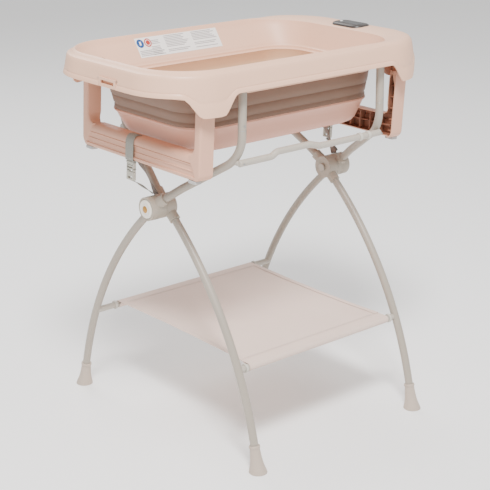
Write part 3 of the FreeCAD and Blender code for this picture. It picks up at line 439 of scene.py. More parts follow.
def rounded_copy(node: str, name: str, finish: Finish, body: str, radius_mm: float,
                 segments: int = 2) -> None:
    """A copy of a CAD node with rounded edges, standing for it.

    Args:
        node: The CAD node.
        name: The new piece's name.
        finish: Its finish.
        body: The body that it rides on.
        radius_mm: Width of the rounding.
        segments: Steps across the rounding.
    """
    bm = bmesh.new()
    bm.from_mesh(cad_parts[node].data)
    bmesh.ops.remove_doubles(bm, verts=bm.verts, dist=WELD_M)
    bmesh.ops.dissolve_limit(bm, angle_limit=math.radians(1.0), verts=bm.verts, edges=bm.edges)
    for face in bm.faces:
        face.material_index = 0
    made = piece(bm, name, [finish], body, [node])
    soften(made, radius_mm, segments)


def dress(node: str, finish: Finish) -> None:
    """Give a carried-over CAD node its finish."""
    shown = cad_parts[node]
    shown.data.materials.clear()
    shown.data.materials.append(finish.material())
    for polygon in shown.data.polygons:
        polygon.material_index = 0
    log.info("%s dressed in %s", node, finish.name)


def turn_out(bm: BMesh) -> None:
    """Turn every face's normal outwards."""
    bmesh.ops.recalc_face_normals(bm, faces=bm.faces)


def weld(bm: BMesh) -> None:
    """Join the points that meet and turn the normals outwards."""
    bmesh.ops.remove_doubles(bm, verts=bm.verts, dist=WELD_M)
    turn_out(bm)


def make_double(bm: BMesh, thickness_mm: float) -> None:
    """Give a sheet its second side, as part of the mesh."""
    bmesh.ops.solidify(bm, geom=bm.faces[:], thickness=thickness_mm * MM)


def edges_of(verts: Iterable[BMVert]) -> set[BMEdge]:
    """Every edge at some vertices."""
    return {edge for vert in verts for edge in vert.link_edges}


def block(bm: BMesh, low: Vector, high: Vector, radius_mm: float = 0.0) -> list[BMVert]:
    """A box between two corners with rounded edges.

    Args:
        bm: The mesh it is added to.
        low: Lowest corner, in metres.
        high: Highest corner, in metres.
        radius_mm: Width of the rounding.

    Returns:
        The box's vertices.
    """
    size = high - low
    at = Matrix.Translation((low + high) / 2) @ Matrix.Diagonal((*size, 1.0))
    verts = bmesh.ops.create_cube(bm, size=1.0, matrix=at)["verts"]
    if not radius_mm:
        return verts
    made = bmesh.ops.bevel(bm, geom=list(edges_of(verts)), offset=radius_mm * MM, segments=2, profile=0.5,
                           affect="EDGES", material=-1)
    return list({v for f in made["faces"] for v in f.verts})


def grid(bm: BMesh, steps_u: int, steps_v: int, place: Place) -> None:
    """A sheet whose points are placed by their two shares, with a UV map.

    Args:
        bm: The mesh it is added to.
        steps_u: Steps along the first share.
        steps_v: Steps along the second share.
        place: Gives a point, in metres, from its two shares.
    """
    if not bm.loops.layers.uv:
        bm.loops.layers.uv.new("UVMap")
    made = bmesh.ops.create_grid(bm, x_segments=steps_u, y_segments=steps_v, size=0.5, calc_uvs=True)
    for vert in made["verts"]:
        vert.co = place(vert.co.x + 0.5, vert.co.y + 0.5)


def disc(bm: BMesh, at: Vector, axis: Vector, radius_mm: float, depth_mm: float, rounding_mm: float,
         segments: int = 32) -> None:
    """A short round bar with rounded rims.

    Args:
        bm: The mesh it is added to.
        at: Its middle, in metres.
        axis: The direction of its axis.
        radius_mm: Radius.
        depth_mm: Length along the axis.
        rounding_mm: Width of the rounding at both rims.
        segments: Steps round it.
    """
    turn = axis.to_track_quat("Z", "Y").to_matrix().to_4x4()
    made = bmesh.ops.create_cone(bm, cap_ends=True, segments=segments, radius1=radius_mm * MM,
                                 radius2=radius_mm * MM, depth=depth_mm * MM,
                                 matrix=Matrix.Translation(at) @ turn)
    rims = [e for e in edges_of(made["verts"]) if any(len(f.verts) > 4 for f in e.link_faces)]
    bmesh.ops.bevel(bm, geom=rims, offset=rounding_mm * MM, segments=3, profile=0.5, affect="EDGES",
                    material=-1)


def turned(bm: BMesh, at: Vector, axis: Vector, out: Vector, profile: Sequence[Point], steps: int) -> None:
    """Spin a profile once round an axis.

    Args:
        bm: The mesh it is added to.
        at: A point on the axis, in millimetres.
        axis: Its direction.
        out: The direction that the profile's radii point in.
        profile: Radius and distance along the axis, point by point, in millimetres.
        steps: Steps round the axis.
    """
    start = [bm.verts.new((at + axis * run + out * radius) * MM) for radius, run in profile]
    edges = [bm.edges.new(pair) for pair in zip(start, start[1:])]
    bmesh.ops.spin(bm, geom=start + edges, cent=at * MM, axis=axis, angle=2 * math.pi, steps=steps,
                   use_merge=True)
    bmesh.ops.remove_doubles(bm, verts=bm.verts, dist=WELD_M)


@dataclass(frozen=True)
class Outline:
    """A rounded rectangle seen from above, in millimetres; it has the same steps whatever its size."""

    x0: float
    x1: float
    half_w: float
    radius: float
    ARC: ClassVar[int] = 22
    LONG: ClassVar[int] = 84
    SHORT: ClassVar[int] = 26

    @classmethod
    def count(cls) -> int:
        """How many points go round."""
        return 4 * cls.ARC + 2 * cls.LONG + 2 * cls.SHORT

    def grown(self, by: float) -> "Outline":
        """The same outline, larger all round."""
        return Outline(self.x0 - by, self.x1 + by, self.half_w + by, self.radius + by)

    def towards(self, other: "Outline", share: float) -> "Outline":
        """The outline a share of the way to another."""
        return Outline(mix(self.x0, other.x0, share), mix(self.x1, other.x1, share),
                       mix(self.half_w, other.half_w, share), mix(self.radius, other.radius, share))

    def point(self, step: int) -> Point:
        """The point at a step round the outline, starting at the head end.

        Args:
            step: From 0 up to count().

        Returns:
            X and Y in millimetres.
        """
        r = self.radius
        corners = [(self.x1 - r, self.half_w - r, 0), (self.x0 + r, self.half_w - r, 90),
                   (self.x0 + r, r - self.half_w, 180), (self.x1 - r, r - self.half_w, 270)]
        straights = [self.LONG, self.SHORT, self.LONG, self.SHORT]
        for i, (cx, cy, turn) in enumerate(corners):
            if step <= self.ARC:
                a = math.radians(turn + 90 * step / self.ARC)
                return cx + r * math.cos(a), cy + r * math.sin(a)
            step -= self.ARC
            if step < straights[i]:
                nx, ny, _ = corners[(i + 1) % 4]
                a = math.radians(turn + 90)
                share = step / straights[i]
                return mix(cx, nx, share) + r * math.cos(a), mix(cy, ny, share) + r * math.sin(a)
            step -= straights[i]
        return self.x1, self.half_w - r


@dataclass(frozen=True)
class Level:
    """One outline at one height of a moulded wall."""

    outline: Outline
    z: float


def moulded_wall(bm: BMesh, levels: Sequence[Level],
                 lift: Callable[[Level, float, float], float] | None = None) -> None:
    """Extrude one ring through every level.

    Args:
        bm: The mesh it is added to.
        levels: The levels in order.
        lift: Gives a point's height from its level, X and Y; else the level's own height.
    """
    count = Outline.count()
    tag = bm.verts.layers.int.get("step") or bm.verts.layers.int.new("step")
    ring = bmesh.ops.create_circle(bm, segments=count, radius=1.0)["verts"]
    for i, vert in enumerate(ring):
        vert[tag] = i
    edges = list(edges_of(ring))
    for number, level in enumerate(levels):
        if number:
            made = bmesh.ops.extrude_edge_only(bm, edges=edges)["geom"]
            ring = [g for g in made if isinstance(g, BMVert)]
            fresh = set(ring)
            edges = [e for e in edges_of(ring) if fresh.issuperset(e.verts)]
        for vert in ring:
            x, y = level.outline.point(vert[tag])
            vert.co = mm(x, y, lift(level, x, y) if lift else level.z)
    turn_out(bm)


# ------------------------------------------------------------------ the bath
@dataclass
class BathRim:
    """The moulded rim: inner wall, rolled edge, skirt with its lobes, and the leg brackets."""

    lip: Outline = Outline(-309, 291, 177, 73)
    ledge: Outline = Outline(-318, 300, 186, 82)
    opening: Outline = Outline(-386, 322, 231, 128)
    edge: Outline = Outline(-407, 407, 247, 140)
    skirt: Outline = Outline(-417, 417, 257, 150)
    top: float = 938.0
    skirt_z: float = 883.0
    ledge_z: float = 875.0
    lobe_top_z: float = 905.0
    lobe_min_y: float = 120.0
    bracket_y: float = 202.5
    lobe_drop: float = 45.0
    lobe_half_low: float = 24.0
    lobe_half_high: float = 66.0
    pivots: tuple[float, float] = (FOOT_PIVOT_X, HEAD_PIVOT_X)
    wall: float = 3.0
    notch: tuple[float, float, float] = (-57.0, 9.0, 904.0)
    side_stops: tuple[Point, ...] = ((0, -2.2), (0.1, -0.2), (0.22, -0.5), (0.42, -4.2), (0.62, -7.2),
                                     (0.8, -8.8), (0.92, -9.4), (1.0, -12.0))
    head_stops: tuple[Point, ...] = ((0, -7.0), (0.1, -4.2), (0.22, -2.4), (0.42, -1.2), (0.62, -0.8),
                                     (0.8, -1.6), (0.92, -5.0), (1.0, -12.0))

    def levels(self) -> list[Level]:
        """Every level of the section, from the lip inside, over the top and down the skirt."""
        inside = [Level(self.lip, 862.0), Level(self.ledge.grown(-1.5), 862.6), Level(self.ledge, 864.0),
                  Level(self.ledge.grown(0.6), 869.0), Level(self.ledge.grown(3.6), 870.2),
                  Level(self.ledge.grown(4.6), 871.4), Level(self.ledge.grown(5.6), self.ledge_z)]
        start = inside[-1].outline
        wall = [Level(start.towards(self.opening, s), mix(self.ledge_z, self.top - 8, s))
                for s in (0.04, 0.2, 0.4, 0.6, 0.8, 0.93)]
        band = [Level(self.opening.towards(self.edge, s), self.top + along(self.side_stops, s))
                for s, _ in self.side_stops]
        outside = [Level(self.edge.towards(self.skirt, s), z) for s, z in
                   ((0.12, 922.5), (0.25, 916.0), (0.5, 903.0), (0.66, 896.0), (0.67, 894.6), (0.62, 893.6),
                    (0.74, 892.6), (0.92, 887.0), (1.0, self.skirt_z))]
        return inside + wall + band + outside

    def height(self, level: Level, x: float, y: float) -> float:
        """A point's height: flatter at the head end, and lower at the lobes."""
        z = level.z
        if z > self.top - 12.5:
            share = (level.outline.half_w - self.opening.half_w) / (self.edge.half_w - self.opening.half_w)
            if share >= -0.001:
                flat = self.top + along(self.head_stops, min(1.0, max(0.0, share)))
                z = mix(z, flat, smooth(170.0, 330.0, x))
        if level.outline.half_w > self.edge.half_w and z < self.lobe_top_z and abs(y) > self.lobe_min_y:
            drop = max(1 - smooth(self.lobe_half_low, self.lobe_half_high, abs(x - p)) for p in self.pivots)
            z -= self.lobe_drop * drop * (self.lobe_top_z - z) / (self.lobe_top_z - self.skirt_z)
        return z

    def build(self) -> None:
        """Build the rim, its brackets and the hook's pocket."""
        bm = bmesh.new()
        moulded_wall(bm, self.levels(), self.height)
        self.cut_notch(bm)
        rim = piece(bm, "bath_rim", [RIM_PLASTIC], "bath", ["tub_rim"])
        thicken(rim, self.wall)
        soften(rim, 0.8, 2, 50)
        self.build_brackets()
        self.build_pocket()

    def cut_notch(self, bm: BMesh) -> None:
        """Cut the opening for the hang-up hook in the foot end's skirt."""
        y0, y1, z1 = [value * MM for value in self.notch]
        for at, across in (((-0.41, y0, 0.89), Y_WAY), ((-0.41, y1, 0.89), Y_WAY), ((-0.41, 0, z1), Z_WAY)):
            faces = [f for f in bm.faces if f.calc_center_median().x < -0.36]
            edges = list({e for f in faces for e in f.edges})
            verts = list({v for f in faces for v in f.verts})
            bmesh.ops.bisect_plane(bm, geom=verts + edges + faces, plane_co=at, plane_no=across)
        centres = {face: face.calc_center_median() for face in bm.faces}
        gone = [f for f, at in centres.items() if at.x < -0.405 and y0 < at.y < y1 and at.z < z1]
        bmesh.ops.delete(bm, geom=gone, context="FACES")

    def build_brackets(self) -> None:
        """The plate inside each lobe that holds a leg's pivot, rounded at its foot, and a dark disc that is
        painted shade in the hinge's hollow; both are in the painted-shade copy of the leg plastic.
        """
        bm = bmesh.new()
        for x in self.pivots:
            for sign in SIDES.values():
                y = sign * self.bracket_y
                inward = math.copysign(20, -x)
                block(bm, mm(x - 22, y - 2.5, 850), mm(x + 22, y + 2.5, 886), 1.5)
                # This disc is painted shade: a dark pad where the hollow of the hinge lies in shadow.
                disc(bm, mm(x + inward, y + sign * 2, 872), Y_WAY, 27, 6, 1.5, 40)
        piece(bm, "leg_brackets_painted_shade", [LEG_PAINTED_SHADE], "bath", ["tub_rim"])

    def build_pocket(self) -> None:
        """The shallow pocket behind the hang-up hook, darker as painted shade."""
        y0, y1, z1 = self.notch
        bm = bmesh.new()
        block(bm, mm(-409.5, y0 - 3, self.skirt_z + 0.5), mm(-407.5, y1 + 3, z1 + 1), 0.4)
        piece(bm, "hook_pocket", [RIM_SHADE], "bath", ["tub_rim"])


@dataclass
class Bellows:
    """The soft wall that folds up between the rim and the basin."""

    top: Outline = Outline(-310, 292, 178, 74)
    bottom: Outline = Outline(-297, 284, 178, 78)
    top_z: float = 861.9
    bottom_z: float = 792.3
    wall: float = 1.8
    folds: tuple[tuple[float, float, float], ...] = (
        (0.0, 0.0, 861.9), (0.04, 1.2, 858.0), (0.3, 1.0, 842.0), (0.46, 0.2, 830.0), (0.5, -1.8, 828.4),
        (0.54, -1.8, 826.8), (0.58, -0.4, 825.4), (0.82, -1.6, 808.0), (0.88, -3.4, 805.0),
        (0.92, -3.4, 802.6), (0.95, -1.8, 800.6), (0.98, -1.4, 796.0), (1.0, -1.4, 792.3))

    def build(self) -> None:
        """Build the folding wall; it rides on no body."""
        bm = bmesh.new()
        outside = [Level(self.top.towards(self.bottom, s).grown(out), z) for s, out, z in self.folds]
        inside = [Level(level.outline.grown(-self.wall), level.z) for level in reversed(outside)]
        moulded_wall(bm, [*outside, *inside, outside[0]])
        weld(bm)
        # Faces that look towards the middle take the second slot, the inside copy lightened as painted bounce
        # light; the rest take the outside copy darkened as painted shade.
        for face in bm.faces:
            centre = face.calc_center_median()
            core = Vector((max(-0.22, min(0.2, centre.x)), max(-0.1, min(0.1, centre.y)), centre.z))
            face.material_index = int(face.normal.dot(centre - core) < 0)
        made = piece(bm, "bellows_wall", [BELLOWS_OUT_PAINTED_SHADE, BELLOWS_IN_PAINTED_LIGHT], None, ["bellows"], 60)
        mm(0, 0, self.top_z)
        mm(0, 0, self.bottom_z)
        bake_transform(made)


@dataclass
class Basin:
    """The rigid bottom of the bath: rolled top edge, walls, raised floor pads, foot ring and drain."""

    top: Outline = Outline(-297, 284, 178, 78)
    low: Outline = Outline(-271, 262, 163, 78)
    top_z: float = 792.0
    floor_z: float = 735.0
    wall: float = 3.0
    drain_x: float = -200.0
    drain_r: float = 19.0

    def build(self) -> None:
        """Build the basin and its drain."""
        self.build_shell()
        self.build_floor_pads()
        self.build_ribs()
        dress("drain_seat", SEAL_RUBBER)
        rounded_copy("drain_plug", "drain_stopper", SEAL_RUBBER, "plug", 0.7)

    def build_shell(self) -> None:
        """The outer wall with a rounded bottom edge and a foot ring, then its thickness."""
        bm = bmesh.new()
        levels = [Level(self.top.grown(g), z) for g, z in
                  ((0.0, 791.9), (0.4, 789.5), (-0.2, 787.5), (-1.2, 786.5))]
        levels += [Level(self.top.towards(self.low, s).grown(-0.8), mix(self.top_z, self.floor_z, s))
                   for s in (0.12, 0.4, 0.7, 0.86)]
        levels += [Level(self.low.grown(-g), z) for g, z in
                   ((0.6, 741.0), (2.2, 737.6), (5.5, 735.6), (10.0, 735.0), (15.5, 735.0), (16.0, 730.4),
                    (17.0, 730.0), (27.0, 730.0), (28.0, 730.4), (28.6, 735.0))]
        drain = Outline(self.drain_x - self.drain_r, self.drain_x + self.drain_r, self.drain_r, self.drain_r)
        levels += [Level(self.low.grown(-28.6).towards(drain, s), self.floor_z)
                   for s in (0.25, 0.5, 0.75, 0.92, 1.0)]
        moulded_wall(bm, levels)
        weld(bm)
        made = piece(bm, "basin_shell", [BASIN_PLASTIC], "basin", ["basin"])
        thicken(made, self.wall)

    def build_floor_pads(self) -> None:
        """The raised pads that keep a baby from sliding on the floor."""
        bm = bmesh.new()
        for x in range(-130, 221, 50):
            for y in (-90, -45, 0, 45, 90):
                disc(bm, mm(x, y, 738.6), Z_WAY, 14, 2.2, 0.9, 24)
        piece(bm, "floor_grip_pads", [BASIN_PLASTIC], "basin")

    def build_ribs(self) -> None:
        """The stiffening ribs under the floor."""
        bm = bmesh.new()
        for x in (-120, -40, 40, 120, 200):
            block(bm, mm(x - 1.2, -134, 731), mm(x + 1.2, 134, 735.2), 0.5)
        piece(bm, "floor_ribs", [BASIN_PLASTIC], "basin")


class End(Enum):
    """The two ends of the bath: sign along X, pivot, and how far the leg leans outwards."""

    FOOT = (-1, FOOT_PIVOT_X, 3.0)
    HEAD = (1, HEAD_PIVOT_X, -4.0)

    @property
    def word(self) -> str:
        """The end's name in node names."""
        return self.name.lower()

    @property
    def leg(self) -> str:
        """The body of this end's leg."""
        return f"leg_{self.word}"

    def place(self, out: float, y: float, z: float) -> Vector:
        """A point about the leg's pivot plane, leaned and moved to its end.

        Args:
            out: Distance outwards from the pivot plane, in millimetres.
            y: Across the bath.
            z: Height before leaning.

        Returns:
            The point in metres.
        """
        sign, pivot, lean = self.value
        turn = math.radians(lean)
        drop = z - LEG_PIVOT_Z
        x = out * math.cos(turn) - drop * math.sin(turn)
        return mm(pivot + sign * x, y, LEG_PIVOT_Z + out * math.sin(turn) + drop * math.cos(turn))

    def lean(self, verts: Iterable[BMVert]) -> None:
        """Lean vertices made about the pivot plane, and move them to their end."""
        for vert in verts:
            vert.co = self.place(*(c * 1000 for c in vert.co))


@dataclass
class EndLeg:
    """A fold-out leg at one end: two posts, a panelled crossbar, ribs inside, pads and knuckles."""

    end: End
    half_w: float = 228.0
    post_w: float = 22.0
    outer: float = 17.0
    depth: float = 34.0
    bar_depth: float = 23.0
    bottom: float = 690.0
    bar_h: float = 57.0
    top: float = LEG_PIVOT_Z
    corner: float = 16.0
    window_r: float = 24.0
    wall: float = 2.6
    bar_cells: int = 12
    post_ribs: int = 5

    @property
    def bar_top(self) -> float:
        """Height of the crossbar's upper edge."""
        return self.bottom + self.bar_h

    def outer_line(self, share: float) -> Point:
        """The outside of the U, from one knuckle round to the other."""
        return self.u_line(share, self.half_w, self.bottom, self.corner)

    def inner_line(self, share: float) -> Point:
        """The window's side of the U."""
        return self.u_line(share, self.half_w - self.post_w, self.bar_top, self.window_r)

    def u_line(self, share: float, half: float, low: float, radius: float) -> Point:
        """A point on a U: down a post, round a corner, along the bar and up again.

        Args:
            share: From 0 at one top to 1 at the other.
            half: Half width of the U.
            low: Height of its bar.
            radius: Corner radius.

        Returns:
            Y and Z in millimetres.
        """
        side = -1 if share < 0.5 else 1
        s = share if share < 0.5 else 1 - share
        if s < 0.2:
            return side * half, mix(self.top, low + radius, s / 0.2)
        if s < 0.3:
            a = math.radians(90 * (s - 0.2) / 0.1)
            return side * (half - radius + radius * math.cos(a)), low + radius - radius * math.sin(a)
        return side * mix(half - radius, 0.0, (s - 0.3) / 0.2), low

    def crown(self, share_u: float, share_v: float) -> float:
        """How far the outer face stands out: rounded edges, and on the bar a sunk panel with ridges."""
        edge = min(share_v, 1 - share_v)
        bar = smooth(0.26, 0.30, min(share_u, 1 - share_u))
        post = -5.0 * (1 - math.sqrt(max(0.0, 1 - (1 - min(1.0, edge / 0.22)) ** 2)))
        panel = along(((0.0, -3.5), (0.03, -1.0), (0.07, 0.0), (0.14, 0.0), (0.16, -3.0), (0.34, -3.0),
                       (0.36, -1.2), (0.38, -1.2), (0.40, -3.0), (0.58, -3.0), (0.60, -1.0), (0.63, -1.0),
                       (0.65, -2.6), (0.68, 0.0), (0.80, -0.4), (0.88, -2.2), (0.95, -6.0), (1.0, -11.0)),
                      share_v)
        inside_bar = smooth(0.285, 0.295, min(share_u, 1 - share_u))
        return mix(post, mix(-0.3, panel, inside_bar), bar) if bar else post

    def build(self) -> None:
        """Build the leg, its ribs, pads and knuckles."""
        word = self.end.word
        self.build_frame()
        self.build_ribs()
        rounded_copy(f"end_leg_pads_{word}", f"leg_pads_{word}", PAD_RUBBER, self.end.leg,
                     1.8, 3)
        dress(f"end_leg_pins_{word}", STEEL)

    def build_frame(self) -> None:
        """The outer face as a sheet on the U, its side walls, and its thickness."""
        rows = [0.0, 0.015, 0.03, 0.07, 0.14, 0.16, 0.25, 0.34, 0.36, 0.38, 0.40, 0.49, 0.58, 0.60, 0.63,
                0.65, 0.68, 0.74, 0.80, 0.88, 0.92, 0.95, 0.975, 1.0]
        stops = [0.0, 0.05, 0.1, 0.15, 0.2, 0.21, 0.22, 0.23, 0.24, 0.25, 0.26, 0.27, 0.28, 0.285, 0.29,
                 0.295, 0.3, 0.305, 0.31, 0.34, 0.38, 0.42, 0.46]
        columns = stops + [0.5] + [1 - s for s in reversed(stops)]

        def place(u: float, v: float) -> Vector:
            share = columns[round(u * (len(columns) - 1))]
            row = rows[round(v * (len(rows) - 1))]
            (y0, z0), (y1, z1) = self.outer_line(share), self.inner_line(share)
            return self.end.place(self.outer + self.crown(share, row), mix(y0, y1, row), mix(z0, z1, row))

        bm = bmesh.new()
        grid(bm, len(columns) - 1, len(rows) - 1, place)
        rim = [e for e in bm.edges if e.is_boundary]
        made = bmesh.ops.extrude_edge_only(bm, edges=rim)["geom"]
        for vert in [g for g in made if isinstance(g, BMVert)]:
            on_bar = 1 - smooth(self.bar_top - 4, self.bar_top + 26, vert.co.z * 1000)
            inside = abs(vert.co.y * 1000) < self.half_w - self.post_w + 6
            depth = mix(self.depth, self.bar_depth, on_bar if inside else 0.0)
            vert.co += self.end.place(self.outer - depth, 0, 0) - self.end.place(self.outer, 0, 0)
        turn_out(bm)
        if sum(f.normal.x * self.end.value[0] * f.calc_area() for f in bm.faces) < 0:
            bmesh.ops.reverse_faces(bm, faces=bm.faces)
        for sign in SIDES.values():
            at = self.end.place(0, sign * (self.half_w - self.post_w / 2), self.top)
            disc(bm, at, Y_WAY, 17, self.post_w - 1, 1.5, 40)
        # The inner walls take the second slot, the darker copy of the leg plastic that is painted shade.
        made = piece(bm, f"leg_frame_{self.end.word}", [LEG_PLASTIC, LEG_PAINTED_SHADE], self.end.leg,
                     [f"end_leg_{self.end.word}"])
        thicken(made, self.wall, True, 1)
        soften(made, 0.7, 2, 50)

    def build_ribs(self) -> None:
        """The lattice of ribs inside the bar and the posts."""
        bm = bmesh.new()

        def plate(out: Point, across: Point, height: Point, thick_y: float, thick_z: float) -> None:
            low = mm(out[0], min(across) - thick_y / 2, min(height) - thick_z / 2)
            high = mm(out[1], max(across) + thick_y / 2, max(height) + thick_z / 2)
            self.end.lean(block(bm, low, high))

        half = self.half_w - self.post_w - 4
        inner, outer = -5.0, 10.5
        z0, z1 = self.bottom + self.wall + 2.0, self.bottom + self.bar_h * 0.82
        for i in range(1, self.bar_cells):
            y = -half + 2 * half * i / self.bar_cells
            if abs(y - TetherStrap.y) > 4:
                plate((inner, outer), (y, y), (z0, z1), 2.0, 0)
        middle = (z0 + z1) / 2
        plate((inner + 4, outer), (-half, half), (middle, middle), 0, 1.8)
        for sign in SIDES.values():
            post = (sign * (self.half_w - self.post_w + self.wall), sign * (self.half_w - self.wall))
            for i in range(self.post_ribs):
                z = self.bar_top - 40 + i * 28
                plate((-self.depth + self.outer + 2, self.outer - 6), post, (z, z), 0, 2.0)
        turn_out(bm)
        # The ribs are in the darker copy of the leg plastic, painted shade.
        piece(bm, f"leg_ribs_{self.end.word}", [LEG_PAINTED_SHADE], self.end.leg)


@dataclass
class TetherStrap:
    """The safety strap at one end: loop round the crossbar, buckle, and two bands to the hub."""

    end: End
    y: float = 30.0
    width: float = 30.0
    thick: float = 1.5

    def build(self) -> None:
        """Build the loop, the buckle's two halves and the bands."""
        word = self.end.word
        self.build_loop()
        rounded_copy(f"buckle_socket_{word}", f"buckle_female_{word}", BUCKLE_PLASTIC, self.end.leg,
                     1.1, 3)
        rounded_copy(f"buckle_clip_{word}", f"buckle_male_{word}", BUCKLE_PLASTIC, f"strap_{word}",
                     0.9, 3)
        self.build_ladder()
        self.build_bands()

    def build_loop(self) -> None:
        """The webbing round the bar, bent over its rounded top."""
        path = [(-7.4, 689.0), (-7.4, 700.0), (-7.4, 730.0), (-7.4, 744.0), (-5.0, 748.0), (0.0, 748.8),
                (8.0, 748.6), (13.0, 745.5), (16.5, 740.0), (18.4, 733.0), (18.8, 722.0), (18.8, 700.0),
                (18.6, 690.0), (16.5, 688.2), (10.0, 688.0), (0.0, 688.0), (-6.0, 688.0), (-7.4, 689.0)]
        bm = bmesh.new()

        def place(u: float, v: float) -> Vector:
            at = u * (len(path) - 1)
            i = min(int(at), len(path) - 2)
            out, z = [mix(a, b, at - i) for a, b in zip(path[i], path[i + 1])]
            return self.end.place(out, self.y + (v - 0.5) * self.width, z)

        grid(bm, (len(path) - 1) * 2, 6, place)
        bmesh.ops.remove_doubles(bm, verts=bm.verts, dist=0.00005)
        turn_out(bm)
        made = piece(bm, f"strap_loop_web_{self.end.word}", [STRAP_WEB], self.end.leg,
                     [f"strap_loop_{self.end.word}"], 60)
        thicken(made, self.thick, False)
        soften(made, 0.3, 2, 60)

    def build_ladder(self) -> None:
        """The ladder-lock bars on the buckle's upper half."""
        bm = bmesh.new()
        for i, z in enumerate((684.5, 676.0, 668.5)):
            half = 13.0 - 1.5 * (i == 1)
            bar = block(bm, mm(7.0, self.y - half, z - 1.6), mm(19.0 - i, self.y + half, z + 1.6), 0.8)
            self.end.lean(bar)
        turn_out(bm)
        piece(bm, f"buckle_ladder_{self.end.word}", [BUCKLE_PLASTIC], self.end.leg)

    def build_bands(self) -> None:
        """The front band, twisted and slack, and the back band behind it, darkened as painted shade."""
        sign = self.end.value[0]
        word = self.end.word
        anchor_x = 20.0 + sign * 299.0
        top_front = self.end.place(12.5, self.y, 641.5) * 1000
        top_back = self.end.place(-8.0, self.y - 2, 684.5) * 1000
        self.band(f"strap_front_web_{word}", Vector((anchor_x, 0, 607.5)), top_front, 16.0, -0.4, STRAP_WEB,
                  f"strap_front_{word}")
        self.band(f"strap_back_web_{word}", Vector((anchor_x - sign * 9, 0, 604.0)), top_back, 21.0, -0.5,
                  STRAP_PAINTED_SHADE, f"strap_back_{word}")

    def band(self, name: str, low: Vector, top: Vector, width: float, twist: float, finish: Finish,
             node: str) -> None:
        """One band of webbing with a slight twist.

        Args:
            name: The piece's name.
            low: Its start on the hub, in millimetres.
            top: Its end at the buckle or the bar, in millimetres.
            width: Webbing width.
            twist: How far it turns on its way, in radians, at its middle.
            finish: Its finish.
            node: The CAD node that it stands for.
        """
        bm = bmesh.new()
        line = top - low
        across = Y_WAY - line * (line.y / line.length_squared)
        across.normalize()
        normal = line.normalized().cross(across)

        def place(u: float, v: float) -> Vector:
            turn = twist * math.sin(math.pi * u) ** 2
            side = across * math.cos(turn) + normal * math.sin(turn)
            sag = normal * (-1.5 * math.sin(math.pi * u))
            return (low + line * u + side * ((v - 0.5) * width) + sag) * MM

        grid(bm, 16, 6, place)
        turn_out(bm)
        made = piece(bm, name, [finish], f"strap_{self.end.word}", [node], 60)
        thicken(made, 1.4, False)


@dataclass
class CareLabel:
    """A plain care label inside the back wall: a white film with grey lines and two plain discs."""

    x0: float = -160.0
    x1: float = 97.0
    z0: float = 884.0
    z1: float = 929.0
    spot_z: float = 915.0
    line_h: float = 1.5
    wall: tuple[Point, Point] = ((191.6, 875.0), (231.0, 930.0))

    def wall_point(self, x: float, z: float, proud: float) -> Vector:
        """A point on the inner back wall, standing proud of it.

        Args:
            x: Along the bath, in millimetres.
            z: Height.
            proud: How far in front of the wall.

        Returns:
            The point in metres.
        """
        (low_y, low_z), (top_y, top_z) = self.wall
        y = mix(low_y, top_y, (z - low_z) / (top_z - low_z))
        normal = Vector((0, low_z - top_z, top_y - low_y)).normalized()
        return (Vector((x, y, z)) + normal * proud) * MM

    def patch(self, bm: BMesh, xs: Point, zs: Point, proud: float, ink: int) -> None:
        """One flat printed patch on the wall."""
        known = set(bm.faces)
        grid(bm, 2, 1, lambda u, v: self.wall_point(mix(*xs, u), mix(*zs, v), proud))
        self.print_new(bm, known, ink)

    def spot(self, bm: BMesh, x: float, radius: float, proud: float, ink: int) -> None:
        """One round printed spot on the wall."""
        known = set(bm.faces)
        verts = bmesh.ops.create_circle(bm, cap_ends=True, segments=28, radius=radius)["verts"]
        for vert in verts:
            vert.co = self.wall_point(x + vert.co.x, self.spot_z + vert.co.y * 0.9, proud)
        self.print_new(bm, known, ink)

    def print_new(self, bm: BMesh, known: set[BMFace], ink: int) -> None:
        """Give the faces that weren't known before one ink."""
        for face in set(bm.faces) - known:
            face.material_index = ink

    def build(self) -> None:
        """Build the film, its lines and its two spots."""
        bm = bmesh.new()
        self.patch(bm, (self.x0, self.x1), (self.z0, self.z1), 0.5, 0)
        dice = random.Random(7)
        for x0, x1, top in ((-118.0, -82.0, 919.0), (-72.0, 4.0, 925.0), (14.0, 90.0, 925.0)):
            z = top
            while z > self.z0 + 4:
                if dice.random() > 0.12:
                    self.patch(bm, (x0, mix(x0, x1, dice.uniform(0.7, 1.0))), (z - self.line_h, z), 0.75, 1)
                z -= 3.4
        for z in (899.0, 895.6, 892.2, 888.8):
            self.patch(bm, (-156.0, mix(-100, -84, dice.random())), (z - self.line_h, z), 0.75, 1)
        self.spot(bm, -147.0, 10.5, 0.8, 2)
        self.patch(bm, (-149.5, -144.5), (911.0, 919.0), 1.0, 0)
        for radius, proud, ink in ((10.5, 0.8, 3), (7.6, 1.0, 0), (6.0, 1.2, 3)):
            self.spot(bm, -124.0, radius, proud, ink)
        turn_out(bm)
        inward = [f for f in bm.faces if f.normal.y > 0]
        bmesh.ops.reverse_faces(bm, faces=inward)
        make_double(bm, 0.15)
        made = piece(bm, "care_label", [PAPER, GREY_INK, BLUE_INK, RED_INK], "bath")
        made.data.shade_flat()


